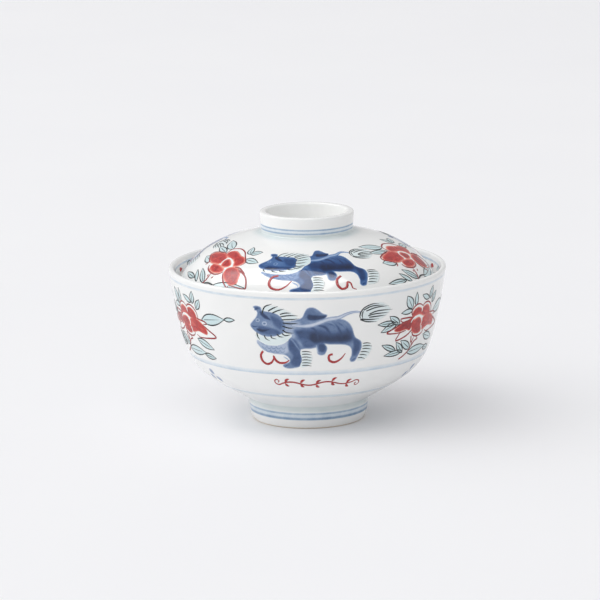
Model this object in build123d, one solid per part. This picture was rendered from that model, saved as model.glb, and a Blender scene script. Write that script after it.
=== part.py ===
from build123d import *
import math
import os

# Lidded porcelain rice bowl: a footed bowl and a loose lid with a ring knob.
# Both are thrown shapes, so each is one closed outline turned about the vertical axis.
# The origin is the centre of the foot's resting face, +Z is up and all sizes are millimetres.

# ---- Driving dimensions: bowl -------------------------------------------------------------
RIM_DIAMETER = 119.4          # across the outside of the lip
BOWL_HEIGHT = 67.0            # resting face to the crest of the lip
LIP_THICKNESS = 2.4           # fully rounded lip
RIM_FLARE = 9.5               # degrees that the wall still leans outward at the lip
FLANK_LENGTH = 44.0           # how strongly the wall keeps the lip's direction on its way down
BOWL_WALL = 3.2               # wall at its thickest, low on the belly
BOWL_FLOOR = 4.6              # clay between the well and the recess inside the foot

FOOT_DIAMETER = 51.6          # foot ring at its widest
FOOT_HEIGHT = 9.3             # resting face to the corner below the belly
FOOT_TAPER = 1.8              # the ring draws in by this much, on the radius, at the bottom
FOOT_WALL = 3.6               # width of the unglazed resting face
FOOT_RECESS = 6.8             # depth of the hollow inside the foot ring
BELLY_RISE = 31.5             # degrees above level at which the belly leaves the foot
BELLY_LENGTH = 31.0           # how strongly the belly keeps that direction
FOOT_EDGE_ROUND = 0.5
FOOT_CORNER_ROUND = 1.2       # where glaze pools between the foot and the belly

# ---- Driving dimensions: lid --------------------------------------------------------------
SEAT_DROP = 7.4               # crest of the bowl's lip down to the widest line of the lid's rim
SEAT_CLEARANCE = 0.2          # radial gap between the lid's rim and the bowl's wall
LID_RISE = 22.4               # widest line of the rim up to the shoulder below the knob
LID_WALL = 3.0                # wall at its thickest, below the knob
LID_RIM_THICKNESS = 2.4       # fully rounded rim
LID_RIM_LEAN = 27.0           # degrees from upright at which the lid leaves its rim
LID_RIM_LENGTH = 16.3         # how strongly the dome keeps that direction
CROWN_FALL = 11.0             # degrees below level at which the crown leaves the knob
CROWN_LENGTH = 17.3           # how strongly the crown keeps that direction

KNOB_DIAMETER = 40.6          # ring knob at its lip
KNOB_WAIST = 39.4             # the same ring where it meets the crown
KNOB_HEIGHT = 8.7             # shoulder up to the top of the ring
KNOB_WALL = 3.0
KNOB_LAND = 1.0               # flat on top of the ring, on which the upturned lid stands
KNOB_RECESS = 7.5             # depth of the hollow inside the ring
KNOB_CORNER_ROUND = 1.0

CURVE_STATIONS = (0.92, 0.8, 0.65, 0.5, 0.36, 0.22, 0.1)


def toward(angle):
    """Unit vector in the half-section at an angle above level, in degrees."""
    return Vector(math.cos(math.radians(angle)), math.sin(math.radians(angle)))


def curve_point(poles, t):
    """Point of the cubic curve with these four poles."""
    s = 1 - t
    return poles[0] * s**3 + poles[1] * 3 * s * s * t + poles[2] * 3 * s * t * t + poles[3] * t**3


def curve_direction(poles, t):
    """Unit tangent of the same curve."""
    s = 1 - t
    rate = (poles[1] - poles[0]) * s * s + (poles[2] - poles[1]) * 2 * s * t + (poles[3] - poles[2]) * t * t
    return rate.normalized()


def inside_point(poles, t, thin, thick, side):
    """Point under the outer curve, a wall away from it: thin at t = 1 and thick towards t = 0."""
    direction = curve_direction(poles, t)
    wall = thin + (thick - thin) * math.sqrt(1 - t)
    return curve_point(poles, t) + Vector(-direction.Y, direction.X) * wall * side


def ring_edge(part, radius, height):
    """The circular edge that lies nearest to a radius and a height."""
    circles = part.edges().filter_by(GeomType.CIRCLE)
    return min(circles, key=lambda e: abs(e.radius - radius) + abs(e.arc_center.Z - height))


def turned(outline):
    """Solid of revolution about Z from a closed half-section."""
    return revolve(Plane.XZ * make_face(outline), axis=Axis.Z)


# ---- Bowl ---------------------------------------------------------------------------------
lip_half = LIP_THICKNESS / 2
lip_direction = toward(90 - RIM_FLARE)
lip_across = Vector(-lip_direction.Y, lip_direction.X)
lip_centre = Vector(RIM_DIAMETER / 2 - lip_half, BOWL_HEIGHT - lip_half)
lip_outer = lip_centre - lip_across * lip_half
lip_inner = lip_centre + lip_across * lip_half

foot_radius = FOOT_DIAMETER / 2
land_outer = foot_radius - FOOT_TAPER
land_inner = land_outer - FOOT_WALL
belly_start = Vector(foot_radius, FOOT_HEIGHT)
bowl_poles = [
    belly_start,
    belly_start + toward(BELLY_RISE) * BELLY_LENGTH,
    lip_outer - lip_direction * FLANK_LENGTH,
    lip_outer,
]
bowl_inside = [inside_point(bowl_poles, t, LIP_THICKNESS, BOWL_WALL, 1) for t in CURVE_STATIONS]
well_height = FOOT_RECESS + BOWL_FLOOR


def bowl_inner_radius(height):
    """Radius of the bowl's inner wall at a height, by halving the stretch of curve around it."""
    low, high = 0.0, 1.0
    for _ in range(40):
        middle = (low + high) / 2
        if inside_point(bowl_poles, middle, LIP_THICKNESS, BOWL_WALL, 1).Y < height:
            low = middle
        else:
            high = middle
    return inside_point(bowl_poles, low, LIP_THICKNESS, BOWL_WALL, 1).X


def make_bowl():
    """Bowl with its foot ring, one piece of clay."""
    foot_side_height = FOOT_HEIGHT - FOOT_TAPER
    outline = [
        Line((0, FOOT_RECESS), (land_inner, FOOT_RECESS)),
        Line((land_inner, FOOT_RECESS), (land_inner, 0)),
        Line((land_inner, 0), (land_outer, 0)),
        TangentArc((foot_radius, foot_side_height), (land_outer, 0), tangent=(0, -1)),
        Line((foot_radius, foot_side_height), belly_start),
        Bezier(*bowl_poles),
        ThreePointArc(lip_outer, lip_centre + lip_direction * lip_half, lip_inner),
        Spline([lip_inner] + bowl_inside + [(0, well_height)], tangents=[-lip_direction, (-1, 0)]),
        Line((0, well_height), (0, FOOT_RECESS)),
    ]
    bowl = turned(outline)
    bowl = fillet(ring_edge(bowl, foot_radius, FOOT_HEIGHT), FOOT_CORNER_ROUND)
    bowl = fillet(ring_edge(bowl, land_inner, FOOT_RECESS), FOOT_CORNER_ROUND)
    bowl = fillet(ring_edge(bowl, land_outer, 0), FOOT_EDGE_ROUND)
    return fillet(ring_edge(bowl, land_inner, 0), FOOT_EDGE_ROUND)


# ---- Lid ----------------------------------------------------------------------------------
seat_height = BOWL_HEIGHT - SEAT_DROP
lid_radius = bowl_inner_radius(seat_height) - SEAT_CLEARANCE
shoulder_height = seat_height + LID_RISE
knob_top = shoulder_height + KNOB_HEIGHT

rim_half = LID_RIM_THICKNESS / 2
rim_direction = toward(-90 + LID_RIM_LEAN)
rim_across = Vector(rim_direction.Y, -rim_direction.X)
rim_centre = Vector(lid_radius - rim_half, seat_height)
rim_outer = rim_centre - rim_across * rim_half
rim_inner = rim_centre + rim_across * rim_half

crown_start = Vector(KNOB_WAIST / 2, shoulder_height)
lid_poles = [
    crown_start,
    crown_start + toward(-CROWN_FALL) * CROWN_LENGTH,
    rim_outer - rim_direction * LID_RIM_LENGTH,
    rim_outer,
]
lid_inside = [inside_point(lid_poles, t, LID_RIM_THICKNESS, LID_WALL, -1) for t in CURVE_STATIONS]
recess_floor = knob_top - KNOB_RECESS
dome_height = recess_floor - LID_WALL


def make_lid():
    """Lid with its ring knob, one piece of clay."""
    knob_radius = KNOB_DIAMETER / 2
    land_start = knob_radius - (KNOB_WALL - KNOB_LAND) / 2
    land_end = land_start - KNOB_LAND
    knob_inner = knob_radius - KNOB_WALL
    lip_base = knob_top - (KNOB_WALL - KNOB_LAND) / 2
    outline = [
        Line((0, recess_floor), (knob_inner, recess_floor)),
        Line((knob_inner, recess_floor), (knob_inner, lip_base)),
        JernArc((knob_inner, lip_base), (0, 1), (KNOB_WALL - KNOB_LAND) / 2, -90),
        Line((land_end, knob_top), (land_start, knob_top)),
        JernArc((land_start, knob_top), (1, 0), (KNOB_WALL - KNOB_LAND) / 2, -90),
        Line((knob_radius, lip_base), crown_start),
        Bezier(*lid_poles),
        ThreePointArc(rim_outer, rim_centre + rim_direction * rim_half, rim_inner),
        Spline([rim_inner] + lid_inside + [(0, dome_height)], tangents=[-rim_direction, (-1, 0)]),
        Line((0, dome_height), (0, recess_floor)),
    ]
    lid = turned(outline)
    lid = fillet(ring_edge(lid, KNOB_WAIST / 2, shoulder_height), KNOB_CORNER_ROUND)
    return fillet(ring_edge(lid, knob_inner, recess_floor), KNOB_CORNER_ROUND)


# ---- Write one file for each piece ----------------------------------------------------------
os.makedirs("parts", exist_ok=True)
for node, piece in {"bowl": make_bowl(), "lid": make_lid()}.items():
    piece.label = node
    export_step(piece, f"parts/{node}.step")
    box = piece.bounding_box()
    print(node, "solids", len(piece.solids()), "volume cm3", round(piece.volume / 1000, 1),
          "box", [round(v, 2) for v in (*box.min, *box.max)])
print("lid rim radius", round(lid_radius, 2), "seat height", seat_height, "overall height", knob_top)
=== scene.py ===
# %% [markdown]
# A lidded porcelain rice bowl, painted by hand under and over the glaze.
# The real object is two pieces of fired clay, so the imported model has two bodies: the bowl, and the
# lid that lifts off it. Everything here is in metres, in the frame of that model.

# %% Load the frame
import math

import bpy
import mathutils
import numpy as np
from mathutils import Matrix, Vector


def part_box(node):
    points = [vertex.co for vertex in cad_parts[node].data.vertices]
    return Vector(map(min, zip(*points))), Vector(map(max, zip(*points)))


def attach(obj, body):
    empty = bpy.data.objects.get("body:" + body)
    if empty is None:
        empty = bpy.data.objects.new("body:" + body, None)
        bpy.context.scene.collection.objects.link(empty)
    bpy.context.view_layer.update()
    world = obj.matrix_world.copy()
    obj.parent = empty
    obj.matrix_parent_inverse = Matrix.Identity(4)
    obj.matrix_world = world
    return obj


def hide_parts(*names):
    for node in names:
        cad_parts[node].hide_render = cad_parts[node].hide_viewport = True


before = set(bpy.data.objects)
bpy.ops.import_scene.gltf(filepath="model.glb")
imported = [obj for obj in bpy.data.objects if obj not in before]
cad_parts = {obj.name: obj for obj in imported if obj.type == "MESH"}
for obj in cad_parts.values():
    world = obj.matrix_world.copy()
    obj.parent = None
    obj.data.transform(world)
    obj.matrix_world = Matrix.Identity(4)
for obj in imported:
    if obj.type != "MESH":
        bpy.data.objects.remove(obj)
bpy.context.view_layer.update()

# %% [markdown]
# Both pieces are turned on a wheel: a half-section spun about the vertical axis. The wall of each is one
# cubic curve, from the foot to the lip on the bowl and from the knob to the rim on the lid. Sizes come from
# the boxes of the CAD nodes; only the angles and weights of the curves are named here.
# Distances on the drawing are millimetres, because a painter thinks in them; MM turns them into metres.

# %% Sizes of the two half-sections
MM = 0.001
BOWL_LOW, BOWL_HIGH = (np.array(corner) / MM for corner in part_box("bowl"))
LID_LOW, LID_HIGH = (np.array(corner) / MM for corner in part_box("lid"))
RIM_RADIUS = (BOWL_HIGH[0] - BOWL_LOW[0]) / 2
BOWL_HEIGHT = BOWL_HIGH[2]
LID_RADIUS = (LID_HIGH[0] - LID_LOW[0]) / 2
KNOB_TOP = LID_HIGH[2]

LIP_THICKNESS, BOWL_WALL, RIM_FLARE, FLANK_LENGTH = 2.4, 3.2, 9.5, 44.0
FOOT_RADIUS, FOOT_HEIGHT, FOOT_TAPER, FOOT_WALL = 25.8, 9.3, 1.8, 3.6
FOOT_RECESS, BOWL_FLOOR, BELLY_RISE, BELLY_LENGTH = 6.8, 4.6, 31.5, 31.0
LID_RIM_THICKNESS, LID_WALL, LID_RIM_LEAN, LID_RIM_LENGTH = 2.4, 3.0, 27.0, 16.3
CROWN_FALL, CROWN_LENGTH, CROWN_THICKNESS = 11.0, 17.3, 3.0
KNOB_RADIUS, KNOB_WAIST, KNOB_HEIGHT, KNOB_WALL, KNOB_RECESS = 20.3, 19.7, 8.7, 3.0, 7.5
RECESS_ROUND, FOOT_EDGE_ROUND, FOOT_CORNER_ROUND = 1.2, 0.5, 0.8
KNOB_CORNER_ROUND, KNOB_EDGE_ROUND = 0.6, 1.0
CORNER_POINTS, SEGMENTS = 6, 320
SEAT_HEIGHT = LID_LOW[2] + LID_RIM_THICKNESS / 2
SHOULDER_HEIGHT = KNOB_TOP - KNOB_HEIGHT


def toward(angle):
    """Unit vector in the half-section at an angle above level, in degrees."""
    return np.array([math.cos(math.radians(angle)), math.sin(math.radians(angle))])


def cubic(poles, t):
    """Points of the cubic curve with four poles, at each t."""
    t = np.asarray(t, float)[..., None]
    s = 1 - t
    return s**3 * poles[0] + 3 * s * s * t * poles[1] + 3 * s * t * t * poles[2] + t**3 * poles[3]


def arc(centre, radius, start, end, count):
    """Points of an arc in the half-section, angles in degrees."""
    angles = np.radians(np.linspace(start, end, count))
    return centre + radius * np.stack([np.cos(angles), np.sin(angles)], 1)


def sideways(points):
    """Unit normals on the left of a line of points."""
    along = np.gradient(points, axis=0)
    along /= np.linalg.norm(along, axis=1)[:, None]
    return np.stack([-along[:, 1], along[:, 0]], 1)


lip_centre = np.array([RIM_RADIUS - LIP_THICKNESS / 2, BOWL_HEIGHT - LIP_THICKNESS / 2])
lip_outer = lip_centre + toward(-RIM_FLARE) * LIP_THICKNESS / 2
belly_start = np.array([FOOT_RADIUS, FOOT_HEIGHT])
BOWL_POLES = [
    belly_start,
    belly_start + toward(BELLY_RISE) * BELLY_LENGTH,
    lip_outer - toward(90 - RIM_FLARE) * FLANK_LENGTH,
    lip_outer,
]
rim_centre = np.array([LID_RADIUS - LID_RIM_THICKNESS / 2, SEAT_HEIGHT])
rim_outer = rim_centre + toward(LID_RIM_LEAN) * LID_RIM_THICKNESS / 2
crown_start = np.array([KNOB_WAIST, SHOULDER_HEIGHT])
LID_POLES = [
    crown_start,
    crown_start + toward(-CROWN_FALL) * CROWN_LENGTH,
    rim_outer - toward(LID_RIM_LEAN - 90) * LID_RIM_LENGTH,
    rim_outer,
]
print("rim", RIM_RADIUS, "bowl height", BOWL_HEIGHT, "lid rim", LID_RADIUS, "seat", SEAT_HEIGHT)

# %% [markdown]
# A painter works on the wall as if it were a flat sheet. So each painted face of the pot gets a rule that
# takes a flat drawing (across, up, and a height off the glaze) to its place on the wall. "Up" is the height
# on the bowl, and the distance along the wall from the rim on the lid.

# %% The faces that are painted
STATIONS = np.linspace(0, 1, 400)


class Face:
    """A turned face: where a flat drawing lies on it. side is 1 on an outer face and -1 on an inner one."""

    def __init__(self, points, up, reach, side=1):
        order = np.argsort(up)
        self.up, self.points = up[order], points[order]
        normals = sideways(self.points)
        outward = np.where(side * (normals[:, 0]) < 0, -1, 1)
        self.normals = normals * outward[:, None]
        self.reach, self.side = reach, side

    def place(self, drawing, azimuth=0.0):
        """Metres in the frame of the model for drawing points (across, up, height) in millimetres."""
        across, up, height = drawing.T
        turn = math.radians(azimuth) + self.side * across / self.reach
        radius, level = (np.interp(up, self.up, self.points[:, k]) for k in (0, 1))
        radius_step, level_step = (np.interp(up, self.up, self.normals[:, k]) for k in (0, 1))
        radius = radius + height * radius_step
        level = level + height * level_step
        return np.stack([radius * np.sin(turn), -radius * np.cos(turn), level], 1) * MM


bowl_outside = cubic(BOWL_POLES, STATIONS)
lid_outside = cubic(LID_POLES, STATIONS)
bowl_wall = LIP_THICKNESS + (BOWL_WALL - LIP_THICKNESS) * np.sqrt(1 - STATIONS)
lid_wall = LID_RIM_THICKNESS + (LID_WALL - LID_RIM_THICKNESS) * np.sqrt(1 - STATIONS)
bowl_inside = bowl_outside + sideways(bowl_outside) * bowl_wall[:, None]
lid_inside = lid_outside - sideways(lid_outside) * lid_wall[:, None]
from_rim = np.linalg.norm(np.diff(lid_outside, axis=0), axis=1)
from_rim = from_rim.sum() - np.concatenate([[0], np.cumsum(from_rim)])
BOWL_REACH, LID_REACH, FOOT_REACH, KNOB_REACH = 57.0, 46.0, FOOT_RADIUS, KNOB_RADIUS
bowl_face = Face(bowl_outside, bowl_outside[:, 1], BOWL_REACH)
bowl_inner_face = Face(bowl_inside, bowl_inside[:, 1], BOWL_REACH, side=-1)
lid_face = Face(lid_outside, from_rim, LID_REACH)
lid_inner_face = Face(lid_inside, from_rim, LID_REACH, side=-1)
print("lid wall from rim to knob", round(float(from_rim.max()), 1), "mm")

# %% [markdown]
# Half-sections of the two pieces. Each starts on the axis underneath and ends on the axis on top, so the
# spun surface closes on itself: no seam, no open edge. A maker's corners are softened with small arcs,
# because fired glaze never leaves a sharp arris.

# %% Half-sections
def corner(before, point, after, radius):
    """Points that round a corner of the half-section."""
    to_before = (before - point) / np.linalg.norm(before - point)
    to_after = (after - point) / np.linalg.norm(after - point)
    t = np.linspace(0, 1, CORNER_POINTS)[:, None]
    start, end = point + to_before * radius, point + to_after * radius
    return (1 - t) ** 2 * start + 2 * t * (1 - t) * point + t**2 * end


def spaced(points, step):
    """The same line with a point about every step, keeping its bends."""
    lengths = np.concatenate([[0], np.cumsum(np.linalg.norm(np.diff(points, axis=0), axis=1))])
    count = max(2, int(round(lengths[-1] / step)) + 1)
    at = np.linspace(0, lengths[-1], count)
    return np.stack([np.interp(at, lengths, points[:, k]) for k in (0, 1)], 1)


def chain(*stretches):
    """Joins stretches of a half-section, leaving out points that fall on each other."""
    points = np.concatenate([np.atleast_2d(stretch) for stretch in stretches])
    apart = np.linalg.norm(np.diff(points, axis=0), axis=1) > 0.02
    return points[np.concatenate([[True], apart])]


def bowl_section():
    """Underside of the foot recess, foot, wall, lip, inner wall, well."""
    ceiling = np.array([FOOT_RADIUS - FOOT_TAPER - FOOT_WALL, FOOT_RECESS])
    land_in = np.array([FOOT_RADIUS - FOOT_TAPER - FOOT_WALL, 0.0])
    land_out = np.array([FOOT_RADIUS - FOOT_TAPER, 0.0])
    side = foot_side()
    well = np.array([0.0, FOOT_RECESS + BOWL_FLOOR])
    inner = bowl_inside[: len(STATIONS) // 10 : -1]
    slope = (inner[-1] - inner[-2]) / np.linalg.norm(inner[-1] - inner[-2])
    floor = cubic([inner[-1], inner[-1] + slope * 10, well + (8, 0), well], np.linspace(0, 1, 40))
    return chain(
        spaced(np.array([[0.0, FOOT_RECESS], ceiling - (1.2, 0)]), 1.5),
        corner(ceiling - (5, 0), ceiling, ceiling - (0, 5), RECESS_ROUND),
        spaced(np.array([ceiling - (0, 1.3), land_in + (0, 0.6)]), 1.0),
        corner(land_in + (0, 5), land_in, land_in + (5, 0), FOOT_EDGE_ROUND),
        corner(land_out - (5, 0), land_out, side[1], FOOT_EDGE_ROUND),
        side[2:-1],
        corner(side[-2], belly_start, bowl_outside[4], FOOT_CORNER_ROUND),
        spaced(bowl_outside[5:], 0.75),
        arc(lip_centre, LIP_THICKNESS / 2, -RIM_FLARE, 180 - RIM_FLARE, 16),
        spaced(inner, 1.0),
        floor,
    )


def foot_side():
    """The outer side of the foot ring, which draws in towards the land it stands on."""
    start = FOOT_HEIGHT - FOOT_TAPER
    radius = (start**2 + FOOT_TAPER**2) / (2 * FOOT_TAPER)
    half_turn = math.degrees(math.asin(start / radius))
    drawn_in = arc(np.array([FOOT_RADIUS - radius, start]), radius, -half_turn, 0, 14)
    return np.concatenate([drawn_in, [[FOOT_RADIUS, FOOT_HEIGHT - FOOT_TAPER / 2], belly_start]])


def lid_section():
    """Underside of the dome, rim, wall, knob side, knob land, knob recess."""
    dome = SHOULDER_HEIGHT - CROWN_THICKNESS + 1.2
    recess = KNOB_TOP - KNOB_RECESS
    knob_out = np.array([KNOB_RADIUS, KNOB_TOP])
    knob_in = knob_out - (KNOB_WALL, 0)
    recess_corner = np.array([knob_in[0], recess])
    inner_start = lid_inside[0]
    under_poles = [
        np.array([0.0, dome]),
        np.array([9.0, dome]),
        inner_start - toward(-CROWN_FALL) * 6,
        inner_start,
    ]
    under = cubic(under_poles, np.linspace(0, 1, 24)[:-1])
    return chain(
        under,
        spaced(lid_inside, 0.9),
        arc(rim_centre, LID_RIM_THICKNESS / 2, LID_RIM_LEAN - 180, LID_RIM_LEAN, 16),
        spaced(lid_outside[::-1], 0.7)[:-1],
        corner(lid_outside[4], crown_start, knob_out, KNOB_CORNER_ROUND),
        spaced(np.array([crown_start + (0.05, 0.7), knob_out - (0.05, 1.1)]), 0.6),
        corner(crown_start, knob_out, knob_in, KNOB_EDGE_ROUND),
        corner(knob_out, knob_in, recess_corner, KNOB_EDGE_ROUND),
        spaced(np.array([knob_in - (0, 1.1), recess_corner + (0, 1.3)]), 0.8),
        corner(knob_in, recess_corner, np.array([0.0, recess]), RECESS_ROUND),
        spaced(np.array([recess_corner - (1.4, 0), [0.0, recess]]), 1.5),
    )


bowl_profile, lid_profile = bowl_section(), lid_section()
print("points in the half-sections", len(bowl_profile), len(lid_profile))

# %% [markdown]
# Trees of nodes are wired in the script. One small helper adds a node, sets it and plugs it in, for
# geometry and for materials alike, so that a tree reads as a list of what it does.

# %% Wiring helper
class Wiring:
    """Adds and links nodes in one tree."""

    def __init__(self, tree):
        self.tree = tree

    def add(self, kind, plugs=(), **settings):
        """A new node; plugs gives each input a value or another node's output."""
        node = self.tree.nodes.new(kind)
        for setting, value in settings.items():
            setattr(node, setting, value)
        for socket, value in dict(plugs).items():
            self.plug(value, node.inputs[socket])
        return node

    def plug(self, value, socket):
        """Links an output to an input, or sets the input."""
        if isinstance(value, bpy.types.NodeSocket):
            self.tree.links.new(value, socket)
        else:
            socket.default_value = value

    def maths(self, operation, *values, clamp=False):
        """The output of one Math node."""
        plugs = dict(enumerate(values))
        kind = "ShaderNodeMath"
        return self.add(kind, plugs, operation=operation, use_clamp=clamp).outputs[0]


def geometry_tree(name, inputs):
    """An empty geometry tree with named inputs, given as {name: (socket type, value)}."""
    tree = bpy.data.node_groups.new(name, "GeometryNodeTree")
    tree.interface.new_socket("Geometry", in_out="INPUT", socket_type="NodeSocketGeometry")
    for label, (kind, value) in inputs.items():
        socket = tree.interface.new_socket(label, in_out="INPUT", socket_type=kind)
        if value is not None:
            socket.default_value = value
    tree.interface.new_socket("Geometry", in_out="OUTPUT", socket_type="NodeSocketGeometry")
    wiring = Wiring(tree)
    return wiring, wiring.add("NodeGroupInput").outputs


def end_tree(wiring, geometry, material):
    """Closes a geometry tree: real geometry, one material."""
    real = wiring.add("GeometryNodeRealizeInstances", {"Geometry": geometry}).outputs[0]
    painted = wiring.add("GeometryNodeSetMaterial", {"Geometry": real, "Material": material}).outputs[0]
    wiring.add("NodeGroupOutput", {"Geometry": painted})
    return wiring.tree


def grown(name, mesh, tree, **inputs):
    """Runs a geometry tree on a mesh and returns the result as a plain mesh."""
    seed = bpy.data.objects.new(name + "_seed", mesh)
    bpy.context.scene.collection.objects.link(seed)
    modifier = seed.modifiers.new("tree", "NODES")
    modifier.node_group = tree
    for socket in tree.interface.items_tree:
        if socket.in_out == "INPUT" and socket.name in inputs:
            modifier[socket.identifier] = inputs[socket.name]
    depsgraph = bpy.context.evaluated_depsgraph_get()
    result = bpy.data.meshes.new_from_object(seed.evaluated_get(depsgraph), depsgraph=depsgraph)
    bpy.data.objects.remove(seed)
    result.name = name
    return result


def flat_mesh(name, points, edges=(), faces=(), **attributes):
    """A mesh from points, edges and faces, with float attributes on its points."""
    mesh = bpy.data.meshes.new(name)
    mesh.from_pydata([tuple(point) for point in points], list(edges), list(faces))
    for label, values in attributes.items():
        mesh.attributes.new(label, "FLOAT", "POINT").data.foreach_set("value", np.asarray(values, np.float32))
    return mesh

# %% [markdown]
# A turned form is a half-section spun about the axis. In Geometry Nodes that is a grid whose columns go
# round the axis and whose rows follow the half-section; welding points that fall on each other closes the
# seam and the poles. A Screw modifier could also do it, but the tree carries the pigment along too.

# %% Tree: turned form
def make_turned_tree():
    """Grid rows take their radius and height from the half-section's points."""
    wiring, given = geometry_tree("turned form", {
        "Segments": ("NodeSocketInt", SEGMENTS),
        "Weld": ("NodeSocketFloat", 1e-7),
        "Material": ("NodeSocketMaterial", None),
    })
    count = wiring.add("GeometryNodeAttributeDomainSize", {0: given["Geometry"]}, component="MESH").outputs[0]
    columns = wiring.maths("ADD", given["Segments"], 1)
    grid = wiring.add("GeometryNodeMeshGrid", {"Vertices X": columns, "Vertices Y": count})
    position = wiring.add("GeometryNodeInputPosition").outputs[0]
    place = wiring.add("ShaderNodeSeparateXYZ", {0: position}).outputs
    turn = wiring.maths("MULTIPLY", wiring.maths("ADD", place["X"], 0.5), math.tau)
    along = wiring.maths("MULTIPLY", wiring.maths("ADD", place["Y"], 0.5), wiring.maths("SUBTRACT", count, 1))
    row = wiring.maths("ROUND", along)

    def at_row(value, data_type):
        """What the half-section's point for this row of the grid holds."""
        plugs = {"Geometry": given["Geometry"], "Value": value, "Index": row}
        return wiring.add("GeometryNodeSampleIndex", plugs, data_type=data_type).outputs[0]

    reach = wiring.add("ShaderNodeSeparateXYZ", {0: at_row(position, "FLOAT_VECTOR")}).outputs
    across = wiring.maths("MULTIPLY", reach["X"], wiring.maths("SINE", turn))
    back = wiring.maths("MULTIPLY", reach["X"], wiring.maths("COSINE", turn))
    front = wiring.maths("MULTIPLY", back, -1.0)
    spun = wiring.add("ShaderNodeCombineXYZ", {"X": across, "Y": front, "Z": reach["Z"]}).outputs[0]
    pigment = wiring.add("GeometryNodeInputNamedAttribute", {"Name": "pigment"}, data_type="FLOAT").outputs[0]
    strength = at_row(pigment, "FLOAT")
    stored = wiring.add("GeometryNodeStoreNamedAttribute",
                        {"Geometry": grid.outputs["Mesh"], "Name": "OFBake", "Value": grid.outputs["UV Map"]},
                        data_type="FLOAT2", domain="CORNER").outputs[0]
    stored = wiring.add("GeometryNodeStoreNamedAttribute",
                        {"Geometry": stored, "Name": "pigment", "Value": strength},
                        data_type="FLOAT", domain="POINT").outputs[0]
    moved = wiring.add("GeometryNodeSetPosition", {"Geometry": stored, "Position": spun}).outputs[0]
    weld = {"Geometry": moved, "Distance": given["Weld"]}
    welded = wiring.add("GeometryNodeMergeByDistance", weld).outputs[0]
    smooth = wiring.add("GeometryNodeSetShadeSmooth", {"Geometry": welded}).outputs[0]
    return end_tree(wiring, smooth, given["Material"])


turned_tree = make_turned_tree()


def turned(name, section, material, pigment=None):
    """A turned form from half-section points in millimetres."""
    points = [(x * MM, 0.0, z * MM) for x, z in section]
    edges = [(k, k + 1) for k in range(len(points) - 1)]
    strength = np.zeros(len(points)) if pigment is None else pigment
    seed = flat_mesh(name, points, edges, pigment=strength)
    return grown(name, seed, turned_tree, Segments=SEGMENTS, Material=material)

# %% [markdown]
# Glaze, pigment and enamel. The clay is white; the glaze over it is a clear glass about half a millimetre
# thick, so it ripples very gently and carries a few pinholes and iron specks. In the creases at the foot and
# under the knob it is tinted greener and darker: partly glaze that pooled there, partly painted shade.
# Cobalt is painted under that glass, red and aqua enamel over it. Effects that several of these
# share are node groups, built once; the Principled shader itself stays in each material.

# %% Shader helpers
def srgb(red, green, blue):
    """A linear colour from 0 to 255 screen values."""
    values = np.array([red, green, blue]) / 255
    linear = np.where(values <= 0.04045, values / 12.92, ((values + 0.055) / 1.055) ** 2.4)
    return (*[float(value) for value in linear], 1.0)


def shader_group(name, inputs, outputs):
    """An empty shader node group with named inputs and outputs."""
    tree = bpy.data.node_groups.new(name, "ShaderNodeTree")
    for label, (kind, value) in inputs.items():
        tree.interface.new_socket(label, in_out="INPUT", socket_type=kind).default_value = value
    for label, kind in outputs.items():
        tree.interface.new_socket(label, in_out="OUTPUT", socket_type=kind)
    wiring = Wiring(tree)
    return wiring, wiring.add("NodeGroupInput").outputs


def ramp(wiring, factor, stops):
    """A colour ramp; stops are (place, colour)."""
    node = wiring.add("ShaderNodeValToRGB", {"Fac": factor})
    points = node.color_ramp.elements
    for k, (place, colour) in enumerate(stops):
        point = points[k] if k < 2 else points.new(place)
        point.position, point.color = place, colour
    return node.outputs["Color"]


def mixed(wiring, factor, first, second):
    """Colour between first and second."""
    node = wiring.add("ShaderNodeMix", {0: factor}, data_type="RGBA")
    wiring.plug(first, node.inputs[6])
    wiring.plug(second, node.inputs[7])
    return node.outputs[2]


def between(wiring, value, low, high, to_low=0.0, to_high=1.0):
    """Value mapped smoothly from one range to another."""
    plugs = {"Value": value, "From Min": low, "From Max": high, "To Min": to_low, "To Max": to_high}
    return wiring.add("ShaderNodeMapRange", plugs, interpolation_type="SMOOTHSTEP").outputs["Result"]


def object_place(wiring):
    """Object coordinates, in metres."""
    return wiring.add("ShaderNodeTexCoord").outputs["Object"]


def noise(wiring, place, scale, detail=3.0, roughness=0.5):
    """Noise between 0 and 1."""
    plugs = {"Vector": place, "Scale": scale, "Detail": detail, "Roughness": roughness}
    return wiring.add("ShaderNodeTexNoise", plugs).outputs[0]


# %% Group: fired glaze
GLAZE_WHITE = srgb(243, 243, 241)
GLAZE_IOR, ENAMEL_IOR = 1.5, 1.52
# Greener and darker in the creases at the foot and under the knob: partly glaze that pooled there, partly
# painted shade of the crease.
POOL_AND_CREASE_SHADE_TINT = srgb(206, 218, 219)
BARE_CLAY = srgb(226, 214, 196)


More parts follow.
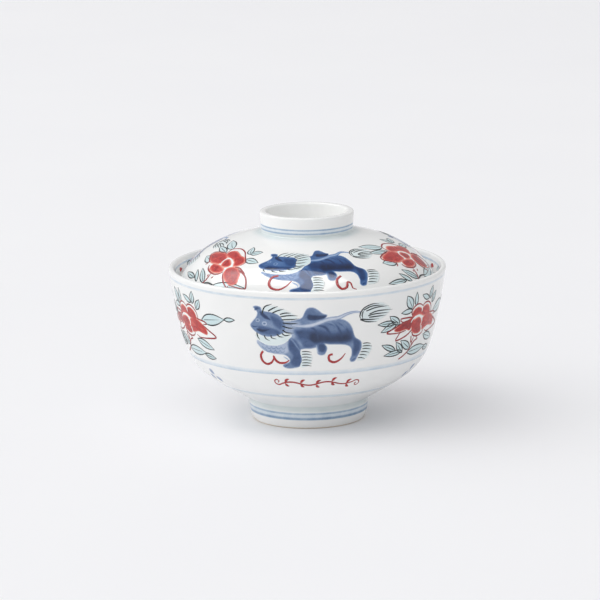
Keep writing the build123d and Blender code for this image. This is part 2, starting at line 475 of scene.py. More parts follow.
def make_glaze_group():
    """Tone, roughness and relief of the clear glaze over white clay, the same wherever it is used."""
    wiring, given = shader_group(
        "fired glaze",
        {"Specks": ("NodeSocketFloat", 1.0), "Ripple": ("NodeSocketFloat", 1.0)},
        {"Colour": "NodeSocketColor", "Roughness": "NodeSocketFloat", "Height": "NodeSocketFloat"},
    )
    place = object_place(wiring)
    axes = wiring.add("ShaderNodeSeparateXYZ", {0: place}).outputs
    flat = wiring.add("ShaderNodeCombineXYZ", {"X": axes["X"], "Y": axes["Y"]}).outputs[0]
    radius = wiring.add("ShaderNodeVectorMath", {0: flat}, operation="LENGTH").outputs["Value"]
    drift = noise(wiring, place, 38.0, 4.0)
    white = mixed(wiring, between(wiring, drift, 0.3, 0.75), GLAZE_WHITE, srgb(239, 240, 239))
    pool_and_crease_shade = None
    # Painted shade with pooled glaze: a greener, darker ring in the crease where the foot meets the wall, and
    # another where the knob meets the crown.
    for height, reach in ((FOOT_HEIGHT - 0.4, FOOT_RADIUS), (SHOULDER_HEIGHT + 0.2, KNOB_WAIST)):
        off = wiring.maths("ABSOLUTE", wiring.maths("SUBTRACT", axes["Z"], height * MM))
        near = between(wiring, off, 2.4 * MM, 0.2 * MM)
        inside = between(wiring, radius, (reach + 5.0) * MM, (reach + 0.4) * MM)
        outside = between(wiring, radius, (reach - 3.2) * MM, (reach - 2.4) * MM)
        ring = wiring.maths("MULTIPLY", wiring.maths("MULTIPLY", near, inside), outside)
        pool_and_crease_shade = ring if pool_and_crease_shade is None else wiring.maths("MAXIMUM", pool_and_crease_shade, ring)
    uneven = between(wiring, noise(wiring, place, 120.0, 2.0), 0.25, 0.8, 0.55, 1.0)
    glassy = mixed(wiring, wiring.maths("MULTIPLY", pool_and_crease_shade, uneven), white, POOL_AND_CREASE_SHADE_TINT)
    cells = wiring.add("ShaderNodeTexVoronoi", {"Vector": place, "Scale": 210.0, "Randomness": 1.0})
    pick = wiring.add("ShaderNodeSeparateColor", {0: cells.outputs["Color"]}).outputs
    rare = wiring.maths("GREATER_THAN", pick[0], 0.985)
    dot = wiring.maths("MULTIPLY", between(wiring, cells.outputs["Distance"], 0.085, 0.03), rare)
    iron = wiring.maths("MULTIPLY", dot, given["Specks"])
    speckled = mixed(wiring, wiring.maths("MULTIPLY", iron, 0.55), glassy, srgb(120, 104, 84))
    ragged = wiring.maths("MULTIPLY", noise(wiring, place, 900.0, 3.0), 0.5 * MM)
    bare = between(wiring, wiring.maths("SUBTRACT", axes["Z"], ragged), 0.35 * MM, 0.1 * MM)
    grit = noise(wiring, place, 2600.0, 4.0)
    clay = mixed(wiring, grit, BARE_CLAY, srgb(204, 188, 166))
    colour = mixed(wiring, bare, speckled, clay)
    smooth = between(wiring, noise(wiring, place, 65.0, 5.0), 0.3, 0.8, 0.075, 0.13)
    rough = wiring.maths("ADD", smooth, wiring.maths("MULTIPLY", bare, 0.62))
    level = wiring.maths("ADD", axes["Z"], wiring.maths("MULTIPLY", drift, 3.0 * MM))
    turning = wiring.maths("SINE", wiring.maths("MULTIPLY", level, math.tau / (5.2 * MM)))
    swell = wiring.maths("MULTIPLY", noise(wiring, place, 55.0, 2.0), 0.10 * MM)
    peel = wiring.maths("MULTIPLY", noise(wiring, place, 420.0, 2.0), 0.006 * MM)
    ridges = wiring.maths("MULTIPLY", turning, 0.004 * MM)
    wave = wiring.maths("ADD", ridges, wiring.maths("ADD", swell, peel))
    relief = wiring.maths("MULTIPLY", wave, given["Ripple"])
    pits = wiring.add("ShaderNodeTexVoronoi", {"Vector": place, "Scale": 160.0, "Randomness": 1.0})
    chosen = wiring.add("ShaderNodeSeparateColor", {0: pits.outputs["Color"]}).outputs
    pinhole = wiring.maths("MULTIPLY", between(wiring, pits.outputs["Distance"], 0.05, 0.0),
                           wiring.maths("GREATER_THAN", chosen[1], 0.97))
    relief = wiring.maths("SUBTRACT", relief, wiring.maths("MULTIPLY", pinhole, 0.05 * MM))
    gritty = wiring.maths("MULTIPLY", wiring.maths("MULTIPLY", grit, bare), 0.12 * MM)
    height = wiring.maths("ADD", relief, gritty)
    wiring.add("NodeGroupOutput", {"Colour": colour, "Roughness": rough, "Height": height})
    return wiring.tree


glaze_group = make_glaze_group()


# %% Material: porcelain
def new_material(name, preview):
    """A material with a Principled shader, its wiring, and the look it has in the viewport."""
    material = bpy.data.materials.new(name)
    material.use_nodes = True
    material.diffuse_color = preview
    wiring = Wiring(material.node_tree)
    shader = material.node_tree.nodes["Principled BSDF"]
    return material, wiring, shader


def relief(wiring, shader, height):
    """Plugs a height in metres into the shader's normal through a Bump node."""
    bump = wiring.add("ShaderNodeBump", {"Height": height, "Distance": 1.0})
    wiring.plug(bump.outputs[0], shader.inputs["Normal"])


def make_porcelain():
    """White porcelain under clear glaze."""
    material, wiring, shader = new_material("porcelain_glaze", GLAZE_WHITE)
    glaze = wiring.add("ShaderNodeGroup", node_tree=glaze_group).outputs
    wiring.plug(glaze["Colour"], shader.inputs["Base Color"])
    wiring.plug(glaze["Roughness"], shader.inputs["Roughness"])
    relief(wiring, shader, glaze["Height"])
    shader.inputs["IOR"].default_value = GLAZE_IOR
    return material


porcelain = make_porcelain()
print("materials", [material.name for material in bpy.data.materials])

# %% [markdown]
# The bowl and the lid, each spun from its half-section. They stand for the two CAD nodes, and each rides
# on its own body, so the lid lifts off with everything that is painted on it.

# %% Bowl and lid
def as_piece(name, mesh, body):
    """Puts a finished mesh in the scene, riding on a body."""
    piece = bpy.data.objects.new(name, mesh)
    bpy.context.scene.collection.objects.link(piece)
    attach(piece, body)
    mesh.calc_loop_triangles()
    print(f"{name}: rides on {body}, {len(mesh.loop_triangles)} triangles")
    return piece


bowl_clay = turned("bowl_porcelain", bowl_profile, porcelain)
bowl_body = as_piece("bowl_porcelain", bowl_clay, "bowl")
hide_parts("bowl")
lid_clay = turned("lid_porcelain", lid_profile, porcelain)
lid_body = as_piece("lid_porcelain", lid_clay, "lid")
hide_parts("lid")

# %% [markdown]
# Every painted colour reads one thing from its mesh, how thick the pigment lies there (0 to 1), and turns
# it into a colour. Thin cobalt is a milky blue, thick cobalt nearly black. Brush marks and grain are one
# node group that all pigments share.

# %% Group: brushed pigment
def make_brushed_group():
    """Unsteady pigment: the mesh's own pigment, broken up by brush streaks and by grain."""
    wiring, given = shader_group(
        "brushed pigment",
        {"Streaks": ("NodeSocketFloat", 0.2), "Grain": ("NodeSocketFloat", 0.06)},
        {"Pigment": "NodeSocketFloat", "Cover": "NodeSocketFloat"},
    )
    place = object_place(wiring)
    attribute = wiring.add("ShaderNodeAttribute", attribute_name="pigment", attribute_type="GEOMETRY")
    stored = attribute.outputs["Fac"]
    streak = wiring.maths("SUBTRACT", noise(wiring, place, 230.0, 4.0, 0.6), 0.5)
    grain = wiring.maths("SUBTRACT", noise(wiring, place, 2400.0, 2.0), 0.5)
    room = wiring.maths("SUBTRACT", 1.15, stored)
    middle = wiring.maths("MULTIPLY", wiring.maths("MULTIPLY", stored, room), 4.0)
    change = wiring.maths("ADD", wiring.maths("MULTIPLY", streak, given["Streaks"]),
                          wiring.maths("MULTIPLY", grain, given["Grain"]))
    pigment = wiring.maths("ADD", stored, wiring.maths("MULTIPLY", change, middle), clamp=True)
    cover = between(wiring, stored, 0.0, 0.12)
    wiring.add("NodeGroupOutput", {"Pigment": pigment, "Cover": cover})
    return wiring.tree


brushed_group = make_brushed_group()


# %% Material: cobalt under the glaze
COBALT_STOPS = [
    (0.0, GLAZE_WHITE),
    (0.12, srgb(216, 221, 231)),
    (0.3, srgb(170, 184, 207)),
    (0.5, srgb(108, 131, 167)),
    (0.7, srgb(64, 88, 130)),
    (0.88, srgb(39, 56, 90)),
    (1.0, srgb(26, 34, 54)),
]
DEEP_COBALT_STOPS = [
    (0.0, GLAZE_WHITE),
    (0.12, srgb(212, 220, 233)),
    (0.3, srgb(150, 174, 208)),
    (0.5, srgb(84, 120, 170)),
    (0.7, srgb(40, 78, 132)),
    (0.88, srgb(22, 46, 92)),
    (1.0, srgb(16, 27, 54)),
]
THIN_COBALT_STOPS = [
    (0.0, GLAZE_WHITE),
    (0.12, srgb(221, 229, 235)),
    (0.35, srgb(174, 194, 213)),
    (0.65, srgb(122, 150, 182)),
    (1.0, srgb(70, 98, 136)),
]


def make_cobalt(name, stops, streaks=0.22, grain=0.08):
    """Pigment seen through the glaze: the surface is the glaze's own, only its colour changes."""
    material, wiring, shader = new_material(name, stops[-2][1])
    glaze = wiring.add("ShaderNodeGroup", {"Specks": 0.4}, node_tree=glaze_group).outputs
    plugs = {"Streaks": streaks, "Grain": grain}
    brushed = wiring.add("ShaderNodeGroup", plugs, node_tree=brushed_group).outputs
    colour = ramp(wiring, brushed["Pigment"], stops)
    wiring.plug(mixed(wiring, brushed["Cover"], glaze["Colour"], colour), shader.inputs["Base Color"])
    wiring.plug(glaze["Roughness"], shader.inputs["Roughness"])
    relief(wiring, shader, glaze["Height"])
    shader.inputs["IOR"].default_value = GLAZE_IOR
    return material


cobalt = make_cobalt("cobalt_underglaze", COBALT_STOPS)
deep_cobalt = make_cobalt("cobalt_deep", DEEP_COBALT_STOPS)
thin_cobalt = make_cobalt("cobalt_thin", THIN_COBALT_STOPS, streaks=0.4, grain=0.12)

# %% [markdown]
# Ring lines are drawn by holding a loaded brush against the pot while the wheel turns it. Each is a thin
# film with the same spun tree, from a half-section that follows the wall; its pigment is strongest near
# one edge, as a brush leaves it, and dies out at both.

# %% Ring lines
FILM_SINK = 0.03              # how far a film reaches into the glaze, so that it stays closed underneath
RING_LIFT, RING_EDGE_LIFT, RING_POINTS = 0.018, 0.004, 11


def film_section(face, low, high):
    """Closed half-section of a thin film between two places on a face."""
    up = np.linspace(low, high, RING_POINTS)
    rise = np.full(RING_POINTS, RING_LIFT)
    rise[[0, -1]] = RING_EDGE_LIFT
    points = []
    for heights, places in ((rise, up), (np.full(RING_POINTS, -FILM_SINK), up[::-1])):
        drawn = face.place(np.stack([np.zeros(RING_POINTS), places, heights], 1)) / MM
        points.append(np.stack([-drawn[:, 1], drawn[:, 2]], 1))
    points.append(points[0][:1])
    section = np.concatenate(points)
    return section if face.side > 0 else section[::-1]


def ring_lines(name, body, face_rings):
    """One mesh of films, each given as (face, low, high, pigment at low, at middle, at high)."""
    parts = []
    for face, low, high, at_low, at_middle, at_high in face_rings:
        section = film_section(face, low, high)
        place = np.linspace(0, 1, RING_POINTS)
        strength = np.interp(place, [0, 0.12, 0.5, 0.88, 1], [0, at_low, at_middle, at_high, 0])
        pigment = np.concatenate([strength, strength[::-1], strength[:1]])
        part = turned(name, section, thin_cobalt, pigment if face.side > 0 else pigment[::-1])
        bake_strip(part, len(parts), len(face_rings))
        parts.append(part)
    return as_piece(name, joined(name, parts), body)


def bake_strip(mesh, place, count):
    """Moves a ring's bake map into a strip of its own."""
    layer = mesh.uv_layers["OFBake"].data
    uv = np.empty(len(layer) * 2, np.float32)
    layer.foreach_get("uv", uv)
    uv[1::2] = (place + 0.05 + 0.9 * uv[1::2]) / count
    layer.foreach_set("uv", uv)


def joined(name, meshes):
    """Several meshes made one, keeping their attributes."""
    objects = [bpy.data.objects.new(name, mesh) for mesh in meshes]
    for part in objects:
        bpy.context.scene.collection.objects.link(part)
        part.select_set(True)
    bpy.context.view_layer.objects.active = objects[0]
    if len(objects) > 1:
        bpy.ops.object.join()
    mesh = objects[0].data
    bpy.data.objects.remove(objects[0])
    mesh.name = name
    return mesh


foot_points = foot_side()
foot_face = Face(foot_points, foot_points[:, 1], FOOT_REACH)
knob_points = np.array([crown_start, [KNOB_RADIUS, KNOB_TOP]])
knob_points = np.linspace(knob_points[0], knob_points[1], 20)
knob_face = Face(knob_points, knob_points[:, 1], KNOB_REACH)

ring_lines("bowl_ring_lines", "bowl", [
    (bowl_face, 63.5, 64.8, 0.1, 0.17, 0.14),
    (bowl_face, 30.0, 32.2, 0.26, 0.13, 0.08),
    (bowl_face, 17.0, 18.9, 0.1, 0.2, 0.12),
    (foot_face, 3.9, 5.4, 0.46, 0.6, 0.3),
    (foot_face, 5.2, 6.5, 0.2, 0.16, 0.16),
    (foot_face, 6.2, 7.3, 0.26, 0.46, 0.26),
    (bowl_inner_face, 64.0, 65.0, 0.2, 0.3, 0.2),
    (bowl_inner_face, 17.2, 18.0, 0.2, 0.3, 0.2),
    (bowl_inner_face, 18.8, 19.2, 0.2, 0.26, 0.2),
])
ring_lines("lid_ring_lines", "lid", [
    (lid_face, 1.9, 3.1, 0.12, 0.22, 0.16),
    (lid_inner_face, 3.0, 3.8, 0.2, 0.3, 0.2),
    (knob_face, 83.3, 84.2, 0.3, 0.5, 0.3),
    (knob_face, 84.1, 85.0, 0.14, 0.12, 0.14),
    (knob_face, 84.9, 85.8, 0.3, 0.52, 0.3),
])

# %% [markdown]
# Brush lines. The painter's outlines swell and thin as the brush is pressed and lifted. Each stroke is a
# path with a half-width at every point; the tree sweeps a flattened circle along it, scaled by that
# half-width, which gives a closed, slightly raised line of colour. It is swept flat, as on a sheet of
# paper, and then laid on the wall, because a sweep straight on the wall would twist.

# %% Tree: brush line
def make_brush_tree():
    """A flattened circle swept along chains of points, scaled by their half-width."""
    wiring, given = geometry_tree("brush line", {
        "Sides": ("NodeSocketInt", 8),
        "Flatness": ("NodeSocketFloat", 0.2),
        "Material": ("NodeSocketMaterial", None),
    })
    path = wiring.add("GeometryNodeMeshToCurve", {"Mesh": given["Geometry"]}).outputs[0]
    level = wiring.add("GeometryNodeSetCurveNormal", {"Curve": path}, mode="Z_UP").outputs[0]
    circle = wiring.add("GeometryNodeCurvePrimitiveCircle", {"Resolution": given["Sides"], "Radius": 1.0})
    squeeze = wiring.add("ShaderNodeCombineXYZ", {"X": 1.0, "Y": given["Flatness"], "Z": 1.0}).outputs[0]
    flat = wiring.add("GeometryNodeTransform", {"Geometry": circle.outputs[0], "Scale": squeeze}).outputs[0]
    width = wiring.add("GeometryNodeInputNamedAttribute", {"Name": "width"}, data_type="FLOAT").outputs[0]
    swept = wiring.add("GeometryNodeCurveToMesh",
                       {"Curve": level, "Profile Curve": flat, "Scale": width, "Fill Caps": True}).outputs[0]
    smooth = wiring.add("GeometryNodeSetShadeSmooth", {"Geometry": swept}).outputs[0]
    return end_tree(wiring, smooth, given["Material"])


# %% Tree: repeat round the axis
def make_round_tree():
    """The same painting, turned about the axis to a number of equal places."""
    wiring, given = geometry_tree("repeat round the axis", {
        "Copies": ("NodeSocketInt", 3),
        "Material": ("NodeSocketMaterial", None),
    })
    line = {"Count": given["Copies"], "Offset": (0.0, 0.0, 0.0)}
    points = wiring.add("GeometryNodeMeshLine", line).outputs[0]
    share = wiring.maths("DIVIDE", wiring.add("GeometryNodeInputIndex").outputs[0], given["Copies"])
    turn = wiring.maths("MULTIPLY", share, math.tau)
    rotation = wiring.add("ShaderNodeCombineXYZ", {"Z": turn}).outputs[0]
    copies = wiring.add("GeometryNodeInstanceOnPoints",
                        {"Points": points, "Instance": given["Geometry"], "Rotation": rotation}).outputs[0]
    return end_tree(wiring, copies, given["Material"])


brush_tree, round_tree = make_brush_tree(), make_round_tree()


# %% Strokes as paths
def smooth(points, closed=False, step=0.8):
    """A soft curve through points (Catmull-Rom), with a point about every step."""
    points = np.asarray(points, float)
    if closed:
        ends = np.concatenate([points[-1:], points, points[:2]])
    else:
        ends = np.concatenate([2 * points[:1] - points[1:2], points, 2 * points[-1:] - points[-2:-1]])
    line = []
    for before, start, stop, after in zip(ends, ends[1:], ends[2:], ends[3:]):
        count = max(2, int(np.linalg.norm(stop - start) / step))
        t = np.arange(count)[:, None] / count
        line.append(0.5 * (2 * start + (stop - before) * t
                           + (2 * before - 5 * start + 4 * stop - after) * t**2
                           + (3 * start - before - 3 * stop + after) * t**3))
    if not closed:
        line.append(points[-1:])
    return np.concatenate(line)


def pressed(count, width, start=0.35, stop=0.12):
    """Half-widths of a stroke: set down, pressed, lifted."""
    t = np.linspace(0, 1, count)
    return width / 2 * np.interp(t, [0, 0.22, 0.6, 1], [start, 1.0, 0.9, stop])


def stroke(points, width, start=0.35, stop=0.12, pigment=1.0, lift=0.0):
    """(path, half-widths, pigment, height) of one brush stroke through points."""
    path = smooth(points)
    return path, pressed(len(path), width, start, stop), pigment, lift


def swept_strokes(strokes, flatness=0.2, sides=8):
    """All strokes as one flat mesh: points (across, up, height) in millimetres, faces, pigment."""
    points, widths, pigments, edges = [], [], [], []
    for path, width, pigment, lift in strokes:
        first = len(points)
        points += [(across, up, lift) for across, up in path]
        widths += list(width)
        pigments += [pigment] * len(path)
        edges += [(k, k + 1) for k in range(first, len(points) - 1)]
    seed = flat_mesh("strokes", points, edges, width=widths, pigment=pigments)
    return grown("strokes", seed, brush_tree, Sides=sides, Flatness=flatness)


# %% Laying a flat painting on the wall
def laid(mesh, face, azimuth):
    """Bends a flat mesh in millimetres onto a face of the pot, in metres."""
    count = len(mesh.vertices)
    drawing = np.empty(count * 3, np.float32)
    mesh.vertices.foreach_get("co", drawing)
    drawing = drawing.reshape(count, 3).astype(float)
    mesh.vertices.foreach_set("co", face.place(drawing, azimuth).astype(np.float32).ravel())
    return mesh


def add_bake_map(mesh, azimuth, copies):
    """A bake map (OFBake): one strip of the wall for each copy, undersides in a narrow strip apart."""
    count = len(mesh.vertices)
    place = np.empty(count * 3, np.float32)
    mesh.vertices.foreach_get("co", place)
    place = place.reshape(count, 3)
    share = math.tau / copies
    corners = np.empty(len(mesh.loops), np.int32)
    mesh.loops.foreach_get("vertex_index", corners)
    centres = np.empty(len(mesh.polygons) * 3, np.float32)
    mesh.polygons.foreach_get("center", centres)
    centres = centres.reshape(-1, 3)
    normals = np.empty(len(mesh.polygons) * 3, np.float32)
    mesh.polygons.foreach_get("normal", normals)
    normals = normals.reshape(-1, 3)
    turned_by = (np.arctan2(centres[:, 0], -centres[:, 1]) - math.radians(azimuth) + share / 2) % math.tau
    strip = np.floor(turned_by / share).clip(0, copies - 1)
    starts = np.empty(len(mesh.polygons), np.int32)
    totals = np.empty(len(mesh.polygons), np.int32)
    mesh.polygons.foreach_get("loop_start", starts)
    mesh.polygons.foreach_get("loop_total", totals)
    owner = np.repeat(np.arange(len(totals)), totals)
    angle = (np.arctan2(place[:, 0], -place[:, 1])[corners] - math.radians(azimuth) + share / 2
             - strip[owner] * share + math.pi) % math.tau - math.pi
    low, high = place.min(0), place.max(0)
    reach = np.hypot(place[:, 0], place[:, 1])
    measure = place[:, 2] if high[2] - low[2] > np.ptp(reach) else reach
    up = (measure[corners] - measure.min()) / max(np.ptp(measure), 1e-9)
    outward = np.einsum("ij,ij->i", centres * (1, 1, 0), normals * (1, 1, 0.0)) + normals[:, 2] * 0.03
    under = (outward < 0)[owner]
    across = 0.02 + 0.8 * angle / share
    across = np.where(under, 0.86 + 0.12 * angle / share, across)
    uv = np.stack([across, (strip[owner] + 0.03 + 0.94 * up) / copies], 1).astype(np.float32)
    layer = mesh.uv_layers.get("OFBake") or mesh.uv_layers.new(name="OFBake")
    layer.data.foreach_set("uv", uv.ravel())


def painting(name, body, flats, face, azimuth, material, copies=3):
    """Flat meshes laid on a face at an azimuth, repeated round the pot, as one piece."""
    bent = [laid(flat, face, azimuth) for flat in flats]
    mesh = grown(name, joined(name, bent), round_tree, Copies=copies, Material=material)
    add_bake_map(mesh, azimuth, copies)
    return as_piece(name, mesh, body)

# %% [markdown]
# Washes. A wash is a filled shape: its edge is where the liquid stopped. On a fine grid of the flat sheet
# every shape is a distance to its outline, so shapes can be laid over one another, lifted out or feathered
# like real washes. The sheet is then cut along the outline (marching squares) into a thin closed film,
# which holds the pigment at each of its points for the material to read.

# %% Sheets of pigment
class Sheet:
    """A flat sheet in millimetres with pigment on it."""

    def __init__(self, low, high, step=0.3):
        self.across = np.arange(low[0], high[0] + step, step)
        self.up = np.arange(low[1], high[1] + step, step)
        self.grid = np.stack(np.meshgrid(self.across, self.up), -1)
        self.pigment = np.zeros(self.grid.shape[:2])
        self.within = np.full(self.grid.shape[:2], -9.0)

    def near(self, points, margin):
        """Rows and columns of the grid near some points."""
        low, high = points.min(0) - margin, points.max(0) + margin
        columns = slice(*np.searchsorted(self.across, (low[0], high[0])))
        rows = slice(*np.searchsorted(self.up, (low[1], high[1])))
        return rows, columns

    def lay(self, where, distance, pigment, soft, keep=False):
        """Blends pigment in where distance (inside is more than 0) says so."""
        amount = np.clip(distance / soft + 0.5, 0, 1)
        amount = amount * amount * (3 - 2 * amount)
        self.pigment[where] += (pigment - self.pigment[where]) * amount
        if not keep:
            self.within[where] = np.maximum(self.within[where], distance)

    def wash(self, outline, pigment, soft, rim=0.0):
        """A filled shape; rim adds pigment along its edge, where the wash dried last."""
        line = smooth(outline, closed=True)
        where = self.near(line, 2.5)
        inside = distance_inside(self.grid[where], line)
        level = pigment + rim * np.exp(-np.abs(inside) / 0.45)
        self.lay(where, inside, level, soft)

    def brush(self, points, width, pigment, soft=0.35, start=0.4, stop=0.2, keep=False):
        """A brush stroke; keep leaves the outline of the film as it is."""
        path = smooth(points)
        half = pressed(len(path), width, start, stop)
        where = self.near(path, 2.5 + width)
        self.lay(where, distance_to_stroke(self.grid[where], path, half), pigment, soft, keep)


def distance_inside(grid, line):
    """Distance from each grid point to a closed line, more than 0 inside it."""
    flat = grid.reshape(-1, 2)
    best = np.full(len(flat), 1e9)
    crossings = np.zeros(len(flat), int)
    for start, stop in zip(line, np.roll(line, -1, axis=0)):
        way, off = stop - start, flat - start
        t = np.clip(off @ way / max(way @ way, 1e-12), 0, 1)
        best = np.minimum(best, ((off - t[:, None] * way) ** 2).sum(1))
        crosses = (start[1] > flat[:, 1]) != (stop[1] > flat[:, 1])
        reach = start[0] + (flat[:, 1] - start[1]) * way[0] / (way[1] if way[1] else 1e-12)
        crossings += crosses & (flat[:, 0] < reach)
    distance = np.sqrt(best) * np.where(crossings % 2 == 1, 1, -1)
    return distance.reshape(grid.shape[:2])


def distance_to_stroke(grid, path, half):
    """Distance from each grid point to a stroke's edge, more than 0 inside it."""
    flat = grid.reshape(-1, 2)
    best = np.full(len(flat), -1e9)
    for start, stop, first, last in zip(path, path[1:], half, half[1:]):
        way, off = stop - start, flat - start
        t = np.clip(off @ way / max(way @ way, 1e-12), 0, 1)
        gap = np.sqrt(((off - t[:, None] * way) ** 2).sum(1))
        best = np.maximum(best, first + (last - first) * t - gap)
    return best.reshape(grid.shape[:2])


# %% Cutting a sheet into a film
def film(sheet, margin=0.25, lift=0.014, dome=0.0):
    """A closed film along the outline of what is painted, pigment on its points."""
    field = sheet.within + margin
    solid = field > 0
    top, depth, pigment, index = [], [], [], {}

    def grid_point(row, column):
        """The number of the film's point at a grid point, made when it is first asked for."""
        key = (row, column)
        if key not in index:
            inside = field[row, column]
            index[key] = len(top)
            top.append((sheet.across[column], sheet.up[row], lift + dome * min(inside / 0.7, 1) ** 0.5))
            depth.append(-FILM_SINK)
            pigment.append(sheet.pigment[row, column])
        return index[key]

    def edge_point(first, second):
        """The number of the point where the outline crosses between two grid points."""
        key = (first, second) if first < second else (second, first)
        if key not in index:
            one, two = field[key[0]], field[key[1]]
            t = one / (one - two)
            index[key] = len(top)
            place = [(1 - t) * grid[k0] + t * grid[k1] for grid, k0, k1 in (
                (sheet.across, key[0][1], key[1][1]), (sheet.up, key[0][0], key[1][0]))]
            top.append((*place, 0.002))
            depth.append(None)
            pigment.append((1 - t) * sheet.pigment[key[0]] + t * sheet.pigment[key[1]])
        return index[key]

    faces = []
    touched = solid[:-1, :-1] | solid[1:, :-1] | solid[:-1, 1:] | solid[1:, 1:]
    for row, column in zip(*np.nonzero(touched)):
        around = [(row, column), (row, column + 1), (row + 1, column + 1), (row + 1, column)]
        walk = []
        for first, second in zip(around, around[1:] + around[:1]):
            if solid[first]:
                walk.append(grid_point(*first))
            if solid[first] != solid[second]:
                walk.append(edge_point(first, second))
        faces.append(walk)
    return closed_film(top, depth, faces, pigment)


def closed_film(top, depth, faces, pigment):
    """Adds the underside: inner points again, sunk into the glaze, faces turned over."""
    under, points = {}, list(top)
    for k, sunk in enumerate(depth):
        under[k] = k if sunk is None else len(points)
        if sunk is not None:
            points.append((top[k][0], top[k][1], sunk))
            pigment.append(pigment[k])
    every = faces + [[under[k] for k in reversed(face)] for face in faces]
    mesh = flat_mesh("film", points, faces=every, pigment=pigment)
    mesh.polygons.foreach_set("use_smooth", [True] * len(mesh.polygons))
    return mesh

# %% [markdown]
# The lion. A guardian lion in washes of cobalt, a common motif on bowls of this kind: the whole beast is
# filled with a middle blue, the belly is flooded with a loaded brush, and the light places (the eyes, the
# tail across its back, the edge of the leg) are lifted or left. Three walk round each of the two pieces.

# %% Lion: the cobalt washes
LION_BODY = [
    (-31, 45), (-30.5, 43.2), (-28, 41), (-24.5, 40), (-20, 39.6), (-18, 38.6), (-17, 37), (-17.5, 36),
    (-20, 35), (-20.3, 34), (-18.5, 33.3), (-16, 33.4), (-13, 34.2), (-12, 36.5), (-12, 39), (-12.8, 41.5),
    (-10.5, 42.3), (-8, 42.3), (-5.5, 42.7), (-5.2, 41.5), (-5, 39.9), (-3.6, 39.2), (-2, 39.6), (-1, 41.7),
    (-1.3, 43.2), (-2.5, 44.5), (0, 44), (4, 43.8), (7, 43.4), (9, 42.5), (10, 41), (10.3, 38.5),
    (9.6, 36.6), (10.3, 35.4), (12, 35.6), (13, 37.5), (14.3, 40.5), (14.6, 42.6), (13.8, 44.5),
    (11.8, 45.7), (10.5, 47.5), (9.6, 50.5), (8, 53), (5.5, 54.6), (1, 55.3), (-2, 55), (-2, 56),
    (-1.2, 57), (-3, 57.6), (-5, 59.3), (-7, 60.4), (-9.3, 60), (-10.5, 57.8), (-11.5, 56), (-14, 55),
    (-18, 54.5), (-18, 48), (-24, 45),
]
LION_HEAD = [
    (-33.7, 52), (-32.5, 53.6), (-30.8, 55.5), (-30, 57.5), (-30.7, 59), (-31.7, 60), (-30.5, 60.6),
    (-28.6, 60.2), (-28, 58.8), (-26, 58.4), (-23, 57.8), (-20.5, 56.5), (-19, 54), (-18.6, 51.5),
    (-19.6, 49.3), (-22.5, 47.8), (-25.5, 47.3), (-28.5, 47.6), (-31, 48.8), (-32.8, 50.3),
]
LION_TAIL = [(-15.5, 52.6), (-12, 52.3), (-8, 52.6), (-4, 53.8), (-0.5, 55), (3.5, 55.5), (7, 57), (10, 57.6),
             (13, 57.3)]
# outline, pigment, softness, darker rim; laid from the lightest to the darkest
LION_WASHES = [
    (LION_BODY, 0.5, 0.9, 0.16),
    ([(-31, 45.5), (-30.5, 43), (-28, 41), (-24.5, 40), (-19.5, 39.8), (-17, 41.5), (-16.5, 45),
      (-18.5, 48), (-24, 44.5)], 0.3, 1.2, 0.06),
    ([(-14.5, 52), (-9, 51.8), (-3.5, 53), (1, 54.6), (5, 53.8), (8, 51.2), (9, 48.5), (4, 49.5),
      (-3, 49.8), (-10, 49.3)], 0.58, 2.2, 0),
    ([(-19, 54.4), (-15, 54.6), (-12, 53.4), (-11.6, 50), (-13.2, 47.6), (-19, 47.6)], 0.38, 1.8, 0),
    ([(-14.5, 50.5), (-9.5, 50.8), (-3, 50.2), (3.5, 49.4), (9, 49.2), (10.6, 46.5), (9.5, 44.4), (3, 44.6),
      (-2.6, 45), (-6, 44.2), (-11, 45), (-13.5, 47.5)], 0.8, 3.0, 0),
    ([(-7.5, 49), (-1, 48), (5, 47.6), (8.6, 47.4), (8.8, 45.2), (3, 44.8), (-3.2, 45.2), (-8, 44.8)],
     0.95, 2.4, 0),
    ([(-17, 46.5), (-14.5, 46), (-12.8, 43), (-12.3, 39), (-12.6, 35), (-15.5, 34.2), (-17, 36),
      (-15.6, 39), (-17.5, 42)], 0.74, 1.4, 0),
    ([(-12, 47), (-9, 46.5), (-6, 44), (-8, 42.9), (-11, 43.2)], 0.72, 1.2, 0),
    ([(-4.6, 44), (-2.2, 44), (-1.6, 42), (-2.4, 40.6), (-4.2, 41)], 0.82, 1.2, 0),
    ([(10.5, 46), (13.4, 44.4), (13.6, 41), (12.2, 38), (10.6, 38.4), (10.8, 42)], 0.78, 1.5, 0),
    ([(-10, 58.6), (-7.6, 59.6), (-5.2, 58), (-3, 56.8), (-3.4, 55.6), (-7, 54.6), (-10.4, 55.6)], 0.62,
      1.0, 0),
    ([(-9, 57.2), (-6.5, 57), (-3.6, 56.8), (-1.6, 56.9), (-2, 55.8), (-5, 55), (-9, 55.2)], 0.92, 0.9, 0),
    (LION_HEAD, 0.5, 0.8, 0.16),
    ([(-30, 51.6), (-26, 51.4), (-22, 50.4), (-21, 48.8), (-25.5, 48.2), (-29.5, 49)], 0.74, 1.2, 0),
    ([(-24.5, 56.6), (-21, 55.6), (-19.6, 53), (-20.4, 50.6), (-22.6, 52), (-24, 54.4)], 0.7, 1.6, 0),
]
